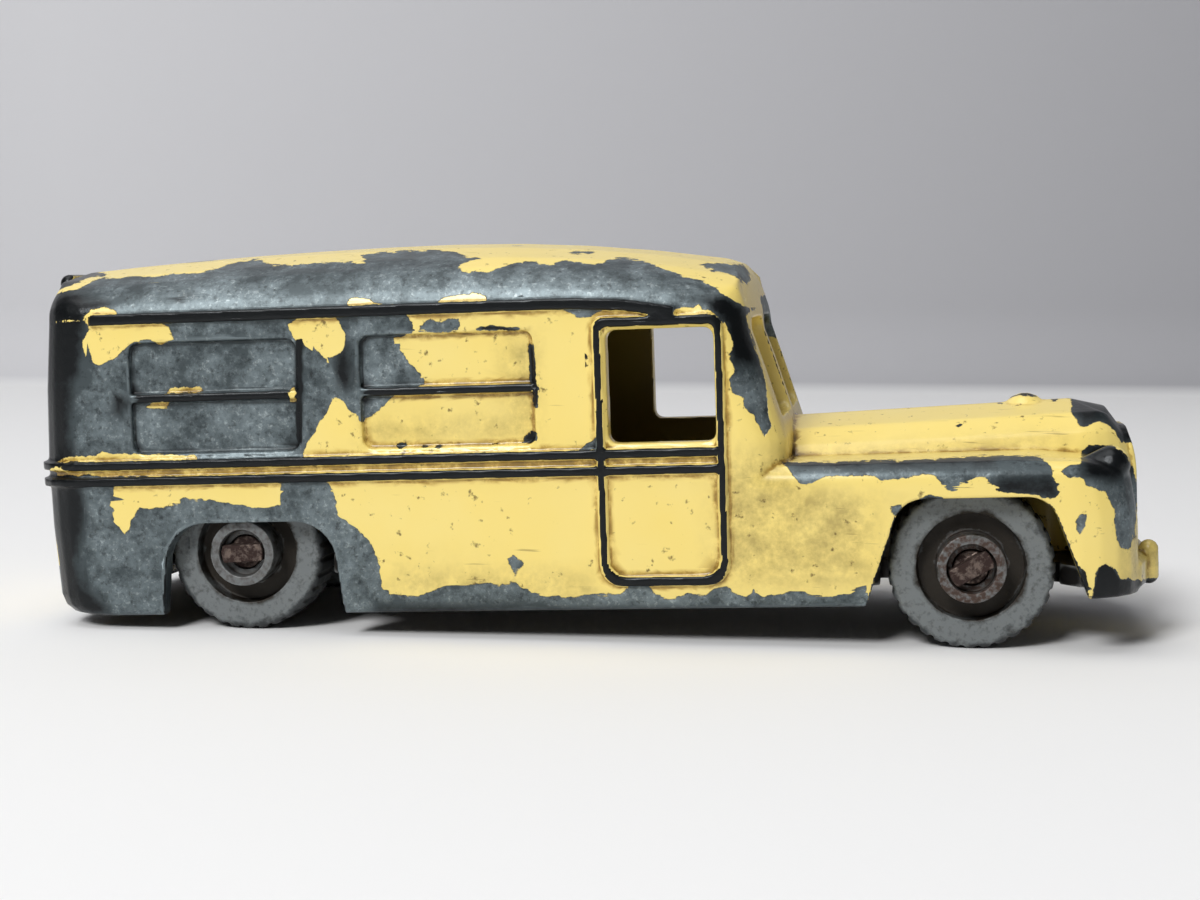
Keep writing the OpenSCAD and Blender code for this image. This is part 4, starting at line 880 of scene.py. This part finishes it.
@dataclass
class BodyCasting:
    """The hollow casting of van body, bonnet and wings, with its chipped enamel."""

    node: str = "body_casting"
    skin: CastSkin = CastSkin(voxel=0.075, soften=2, triangles=78_000, blur=40, calm=40)
    # Heights between which raised lines go from painted to rubbed bare, on the sides and on the ends
    proud: tuple[float, float] = (0.03, 0.15)
    end_proud: tuple[float, float] = (0.03, 0.06)
    # Ridges between which the windows' rails are rubbed, and those where the film thins, with how much of it goes
    rail_rubbed: tuple[float, float] = (-0.01, 0.015)
    edge_ridge: tuple[float, float] = (0.03, 0.09)
    edge_loss: float = 0.25
    # Bounds of the hollow: lowest ceiling, half width under it, half width clear of the walls' inner faces, and the
    # distances behind and ahead of the rear axle between which it lies
    ceiling_z: float = 7.0
    ceiling_half: float = 7.7
    clear_half: float = 3.0
    tail_back: float = 6.0
    hollow_ahead: float = 22.0
    # Height above which the roof's outlines reach
    roof_z: float = 15.5
    # Edges shorter than this aren't split; the passes of splitting, and the triangles at which it stops
    least_edge: float = 0.18
    passes: int = 5
    most_triangles: int = 197_000
    # Share of an edge within which the enamel's edge may cross it, the step of ridge that calls for a split, and what
    # puts edges of the first kind before all others
    crossing: float = 0.6
    ridge_step: float = 0.012
    first: float = 10.0

    def side_points(self, points: np.ndarray, side: Side) -> np.ndarray:
        """Flattens points onto the plane on which a side's outlines are drawn.

        Args:
            points: points on the casting, one to a row, in millimetres.
            side: the side.

        Returns:
            Flat points, one to a row.
        """
        if side is Side.NEAR:
            reach = (-SIDE_Y - EYE[1]) / (points[:, 1] - EYE[1])
            return (EYE + (points - EYE) * reach[:, None])[:, [0, 2]]
        return points[:, {Side.FAR: [0, 2], Side.REAR: [1, 2], Side.ROOF: [0, 1]}[side]]

    def inside(self, points: np.ndarray, facing: np.ndarray) -> np.ndarray:
        """Tells which points lie on the inside of the hollow casting.

        Args:
            points: points on the casting, one to a row, in millimetres.
            facing: their outward directions.

        Returns:
            True for each point on an inner face.
        """
        x, y, z = points.T
        ceiling = (facing[:, 2] < -0.6) & (z > self.ceiling_z) & (np.abs(y) < self.ceiling_half)
        walls = (facing[:, 1] * np.sign(y) < -0.5) & (np.abs(y) > self.clear_half)
        tail = (facing[:, 0] > 0.6) & (x < REAR_AXLE.x - self.tail_back)
        return (ceiling | walls | tail) & (x < REAR_AXLE.x + self.hollow_ahead)

    def on_side(self, points: np.ndarray, facing: np.ndarray, side: Side) -> np.ndarray:
        """Tells which points a side's outlines reach.

        Args:
            points: points on the casting, one to a row, in millimetres.
            facing: their outward directions.
            side: the side.

        Returns:
            True for each point on that side of the outer skin.
        """
        x, y, z = points.T
        outside = ~self.inside(points, facing)
        tail = x < REAR_AXLE.x - self.tail_back
        rear_face = (facing[:, 0] < -0.8) & tail
        if side is Side.NEAR:
            return outside & ~rear_face & (y < 0.0)
        if side is Side.FAR:
            return outside & ~rear_face & (y >= 0.0)
        if side is Side.REAR:
            return outside & (facing[:, 0] < -0.6) & tail
        return outside & (z > self.roof_z) & (facing[:, 2] > 0.9)

    def soil(self, points: np.ndarray, facing: np.ndarray) -> np.ndarray:
        """Works out how much thin dirt lies on the enamel.

        Args:
            points: points on the casting, one to a row, in millimetres.
            facing: their outward directions.

        Returns:
            Dirt from 0 to 1.
        """
        dirt = np.zeros(len(points))
        for patch in WEAR:
            if patch.mark is Mark.SOILED:
                rows = np.flatnonzero(self.on_side(points, facing, patch.side))
                depth = patch.depth(self.side_points(points[rows], patch.side))
                dirt[rows] = np.maximum(dirt[rows], FADES[patch.mark].at(depth))
        return dirt

    def wear(self, points: np.ndarray, facing: np.ndarray, ridge: np.ndarray) -> tuple[np.ndarray, np.ndarray]:
        """Works out where the enamel has held and where bare metal is black.

        Args:
            points: points on the casting, one to a row, in millimetres.
            facing: their outward directions.
            ridge: how far each point stands out of its surroundings.

        Returns:
            Depth inside the enamel, negative where it has gone, and blackness, from -1 on pale metal to 1 on black.
        """
        film = np.full(len(points), 1.0)
        black = np.zeros(len(points))
        reached = {side: np.flatnonzero(self.on_side(points, facing, side)) for side in Side}
        flat = {side: self.side_points(points[rows], side) for side, rows in reached.items()}
        for patch in WEAR:
            if patch.mark is Mark.SOILED:
                continue
            rows = reached[patch.side]
            depth = patch.depth(flat[patch.side])
            if patch.mark is Mark.HELD:
                film[rows] = np.maximum(film[rows], depth)
            elif patch.mark is Mark.RUBBED:
                stands = rise(ridge[rows], *self.rail_rubbed) * FADES[patch.mark].at(depth)
                film[rows] = np.minimum(film[rows], 1.0 - 1.5 * stands)
                black[rows] = np.maximum(black[rows], stands)
            elif patch.mark not in (Mark.DULLED, Mark.PALED):
                film[rows] = np.minimum(film[rows], -depth)
            if patch.mark is Mark.PALED:
                pale = FADES[patch.mark].at(depth)
                black[rows] = np.where(pale > 0.0, -pale, black[rows])
            elif patch.mark in (Mark.SCORED, Mark.BLACKENED, Mark.DULLED):
                black[rows] = np.maximum(black[rows], FADES[patch.mark].at(depth))
        # Raised lines are rubbed bare and black: on the ends by their ridge, on the sides by how far they stand out
        ends = np.abs(facing[:, 0]) > 0.5
        raised = np.where(ends, rise(ridge, *self.end_proud), rise(np.abs(points[:, 1]) - SIDE_Y, *self.proud))
        film = np.minimum(film, 1.0 - 1.6 * raised)
        film = film - self.edge_loss * rise(ridge, *self.edge_ridge)
        return film, np.where(raised > 0.05, np.maximum(black, raised), black)

    def split_edges(self, piece: bpy.types.Object, relief: Relief) -> None:
        """Splits the skin's longer edges along the enamel's edge and beside raised lines, to draw the wear finely.

        Args:
            piece: the casting's skin.
            relief: its ridges.
        """
        for _ in range(self.passes):
            mesh = piece.data
            points = coordinates(mesh)
            ridge = relief.at(points)
            facing = directions(mesh)
            film, _ = self.wear(points, facing, ridge)
            outside = ~self.inside(points, facing)
            work = bmesh.new()
            work.from_mesh(mesh)
            ends = np.array([(edge.verts[0].index, edge.verts[1].index) for edge in work.edges])
            spans = np.linalg.norm(points[ends[:, 0]] - points[ends[:, 1]], axis=1)
            seen = outside[ends].all(axis=1)
            step = np.abs(ridge[ends[:, 0]] - ridge[ends[:, 1]])
            near = seen & (np.abs(film[ends]).min(axis=1) < self.crossing * spans) & (spans > self.least_edge)
            uneven = seen & (step > self.ridge_step) & (spans > 3 * self.least_edge)
            chosen = np.flatnonzero(near | uneven)
            # A split gives two more triangles. Those along the enamel's edge go first, the longest before the rest
            room = max(self.most_triangles - len(work.faces), 0) // 2
            order = np.where(near, spans + self.first, spans)
            chosen = chosen[np.argsort(-order[chosen], kind="stable")][:room]
            work.edges.ensure_lookup_table()
            bmesh.ops.subdivide_edges(work, edges=[work.edges[i] for i in chosen], cuts=1)
            bmesh.ops.triangulate(work, faces=work.faces)
            work.to_mesh(mesh)
            work.free()

    def build(self) -> None:
        """Builds the casting's skin, wears its enamel and sets it in the frame."""
        piece, relief = self.skin.draw(self.node)
        self.split_edges(piece, relief)
        mesh = piece.data
        points, facing = coordinates(mesh), directions(mesh)
        ridge = relief.at(points)
        film, black = self.wear(points, facing, ridge)
        write(mesh, "ridge", ridge)
        write(mesh, "film", film)
        write(mesh, "oxide", black)
        write(mesh, "soil", self.soil(points, facing))
        # Inner faces, whose enamel the shader darkens as painted shade
        write(mesh, "inside", self.inside(points, facing))
        put_down(piece, self.node, "body", ChippedEnamel())


@dataclass
class Wheel:
    """A cast metal wheel."""

    node: str
    joint: str
    finish: CastWheelMetal
    skin: CastSkin = CastSkin(voxel=0.05, soften=4, triangles=60_000)

    def build(self) -> None:
        """Builds the wheel's skin, measures it from its axle and sets it in the frame."""
        piece, _ = self.skin.draw(self.node)
        away = coordinates(piece.data) - np.array(JOINTS[self.joint])
        write(piece.data, "radius", np.hypot(away[:, 0], away[:, 2]))
        put_down(piece, self.node, self.node, self.finish)


@dataclass
class Axle:
    """A steel rod with crimped ends."""

    node: str
    skin: CastSkin = CastSkin(voxel=0.05, soften=2, triangles=30_000)

    def build(self) -> None:
        """Builds the rod's skin and sets it in the frame."""
        piece, _ = self.skin.draw(self.node)
        put_down(piece, self.node, self.node, RustySteel())


@dataclass
class BasePlate:
    """The black plate that closes the casting from below."""

    node: str = "base_plate"
    skin: CastSkin = CastSkin(voxel=0.1, soften=2, triangles=60_000)

    def build(self) -> None:
        """Builds the plate's skin and sets it in the frame."""
        piece, _ = self.skin.draw(self.node)
        put_down(piece, self.node, "body", BlackPlate())


@dataclass(frozen=True)
class Softbox:
    """A square soft light that faces the toy: its name, place and side in metres, and power in watts."""

    name: str
    place: tuple[float, float, float]
    side: float
    watts: float

    def hang(self) -> None:
        """Hangs the light in the studio."""
        lamp = bpy.data.lights.new(self.name, "AREA")
        lamp.size = self.side
        lamp.energy = self.watts
        hung = bpy.data.objects.new(self.name, lamp)
        hung.location = self.place
        hung.rotation_euler = (-Vector(self.place)).to_track_quat("-Z", "Y").to_euler()
        bpy.context.scene.collection.objects.link(hung)


@dataclass
class Studio:
    """Floor, backdrop, soft lights and the camera, in metres."""

    floor_half: float = 1.2
    wall_y: float = 0.19
    wall_h: float = 0.6
    sweep_r: float = 0.012
    sweep_steps: int = 16
    lights: tuple[Softbox, ...] = (
        Softbox("overhead_softbox", (-0.1, -0.06, 0.43), 0.34, 0.9),
        Softbox("front_softbox", (-0.12, -0.35, 0.3), 0.14, 1.62),
    )
    # Colour and strength of the light that comes from all round
    air: str = "#D8D9DC"
    air_strength: float = 0.12

    def ground(self) -> None:
        """Lays a pale card floor that sweeps up into a grey backdrop behind the toy."""
        work = bmesh.new()
        near = [work.verts.new((x, -self.floor_half, 0.0)) for x in (-self.floor_half, self.floor_half)]
        edge = work.edges.new(near)
        run = bmesh.ops.extrude_edge_only(work, edges=[edge])["geom"]
        moved = [v for v in run if isinstance(v, bmesh.types.BMVert)]
        bmesh.ops.translate(work, verts=moved, vec=(0.0, self.floor_half + self.wall_y - self.sweep_r, 0.0))
        edges = [e for e in run if isinstance(e, bmesh.types.BMEdge)]
        swept = bmesh.ops.spin(
            work,
            geom=moved + edges,
            cent=(0.0, self.wall_y - self.sweep_r, self.sweep_r),
            axis=(1.0, 0.0, 0.0),
            angle=math.pi / 2,
            steps=self.sweep_steps,
        )["geom_last"]
        rising = bmesh.ops.extrude_edge_only(
            work, edges=[e for e in swept if isinstance(e, bmesh.types.BMEdge)]
        )["geom"]
        bmesh.ops.translate(
            work, verts=[v for v in rising if isinstance(v, bmesh.types.BMVert)], vec=(0.0, 0.0, self.wall_h)
        )
        bmesh.ops.recalc_face_normals(work, faces=work.faces)
        mesh = bpy.data.meshes.new("studio_sweep")
        work.to_mesh(mesh)
        work.free()
        mesh.shade_smooth()
        sweep = bpy.data.objects.new("studio_sweep", mesh)
        bpy.context.scene.collection.objects.link(sweep)
        mesh.materials.append(StudioCard().material())

    def camera(self) -> None:
        """Sets the camera where the photograph was taken from."""
        lens = bpy.data.cameras.new("photo_camera")
        lens.lens = EYE_LENS
        lens.clip_start = 0.005
        taken = bpy.data.objects.new("photo_camera", lens)
        taken.location = Vector(EYE) * MM
        taken.rotation_euler = (math.pi / 2 - EYE_DIP, 0.0, EYE_TURN)
        bpy.context.scene.collection.objects.link(taken)
        bpy.context.scene.camera = taken

    def build(self) -> None:
        """Builds the floor, the lights, the surrounding glow and the camera."""
        self.ground()
        for softbox in self.lights:
            softbox.hang()
        world = bpy.data.worlds.new("studio_air")
        world.use_nodes = True
        glow = world.node_tree.nodes["Background"]
        glow.inputs["Color"].default_value = linear(self.air)
        glow.inputs["Strength"].default_value = self.air_strength
        scene = bpy.context.scene
        scene.world = world
        scene.view_settings.view_transform = "Standard"
        self.camera()


def main() -> None:
    """Builds the toy piece by piece, then the studio round it."""
    logging.basicConfig(level=logging.INFO, format="%(name)s %(message)s")
    pieces: list[BodyCasting | BasePlate | Axle | Wheel] = [
        BodyCasting(),
        BasePlate(),
        Axle("front_axle"),
        Axle("rear_axle"),
    ]
    for end, finish in (("front", CastWheelMetal()), ("rear", CastWheelMetal(rusted=0.35))):
        for hand in ("left", "right"):
            pieces.append(Wheel(f"{end}_{hand}_wheel", f"{end}_axle_spin", finish))
    for piece in pieces:
        piece.build()
    Studio().build()


if __name__ == "__main__":
    main()
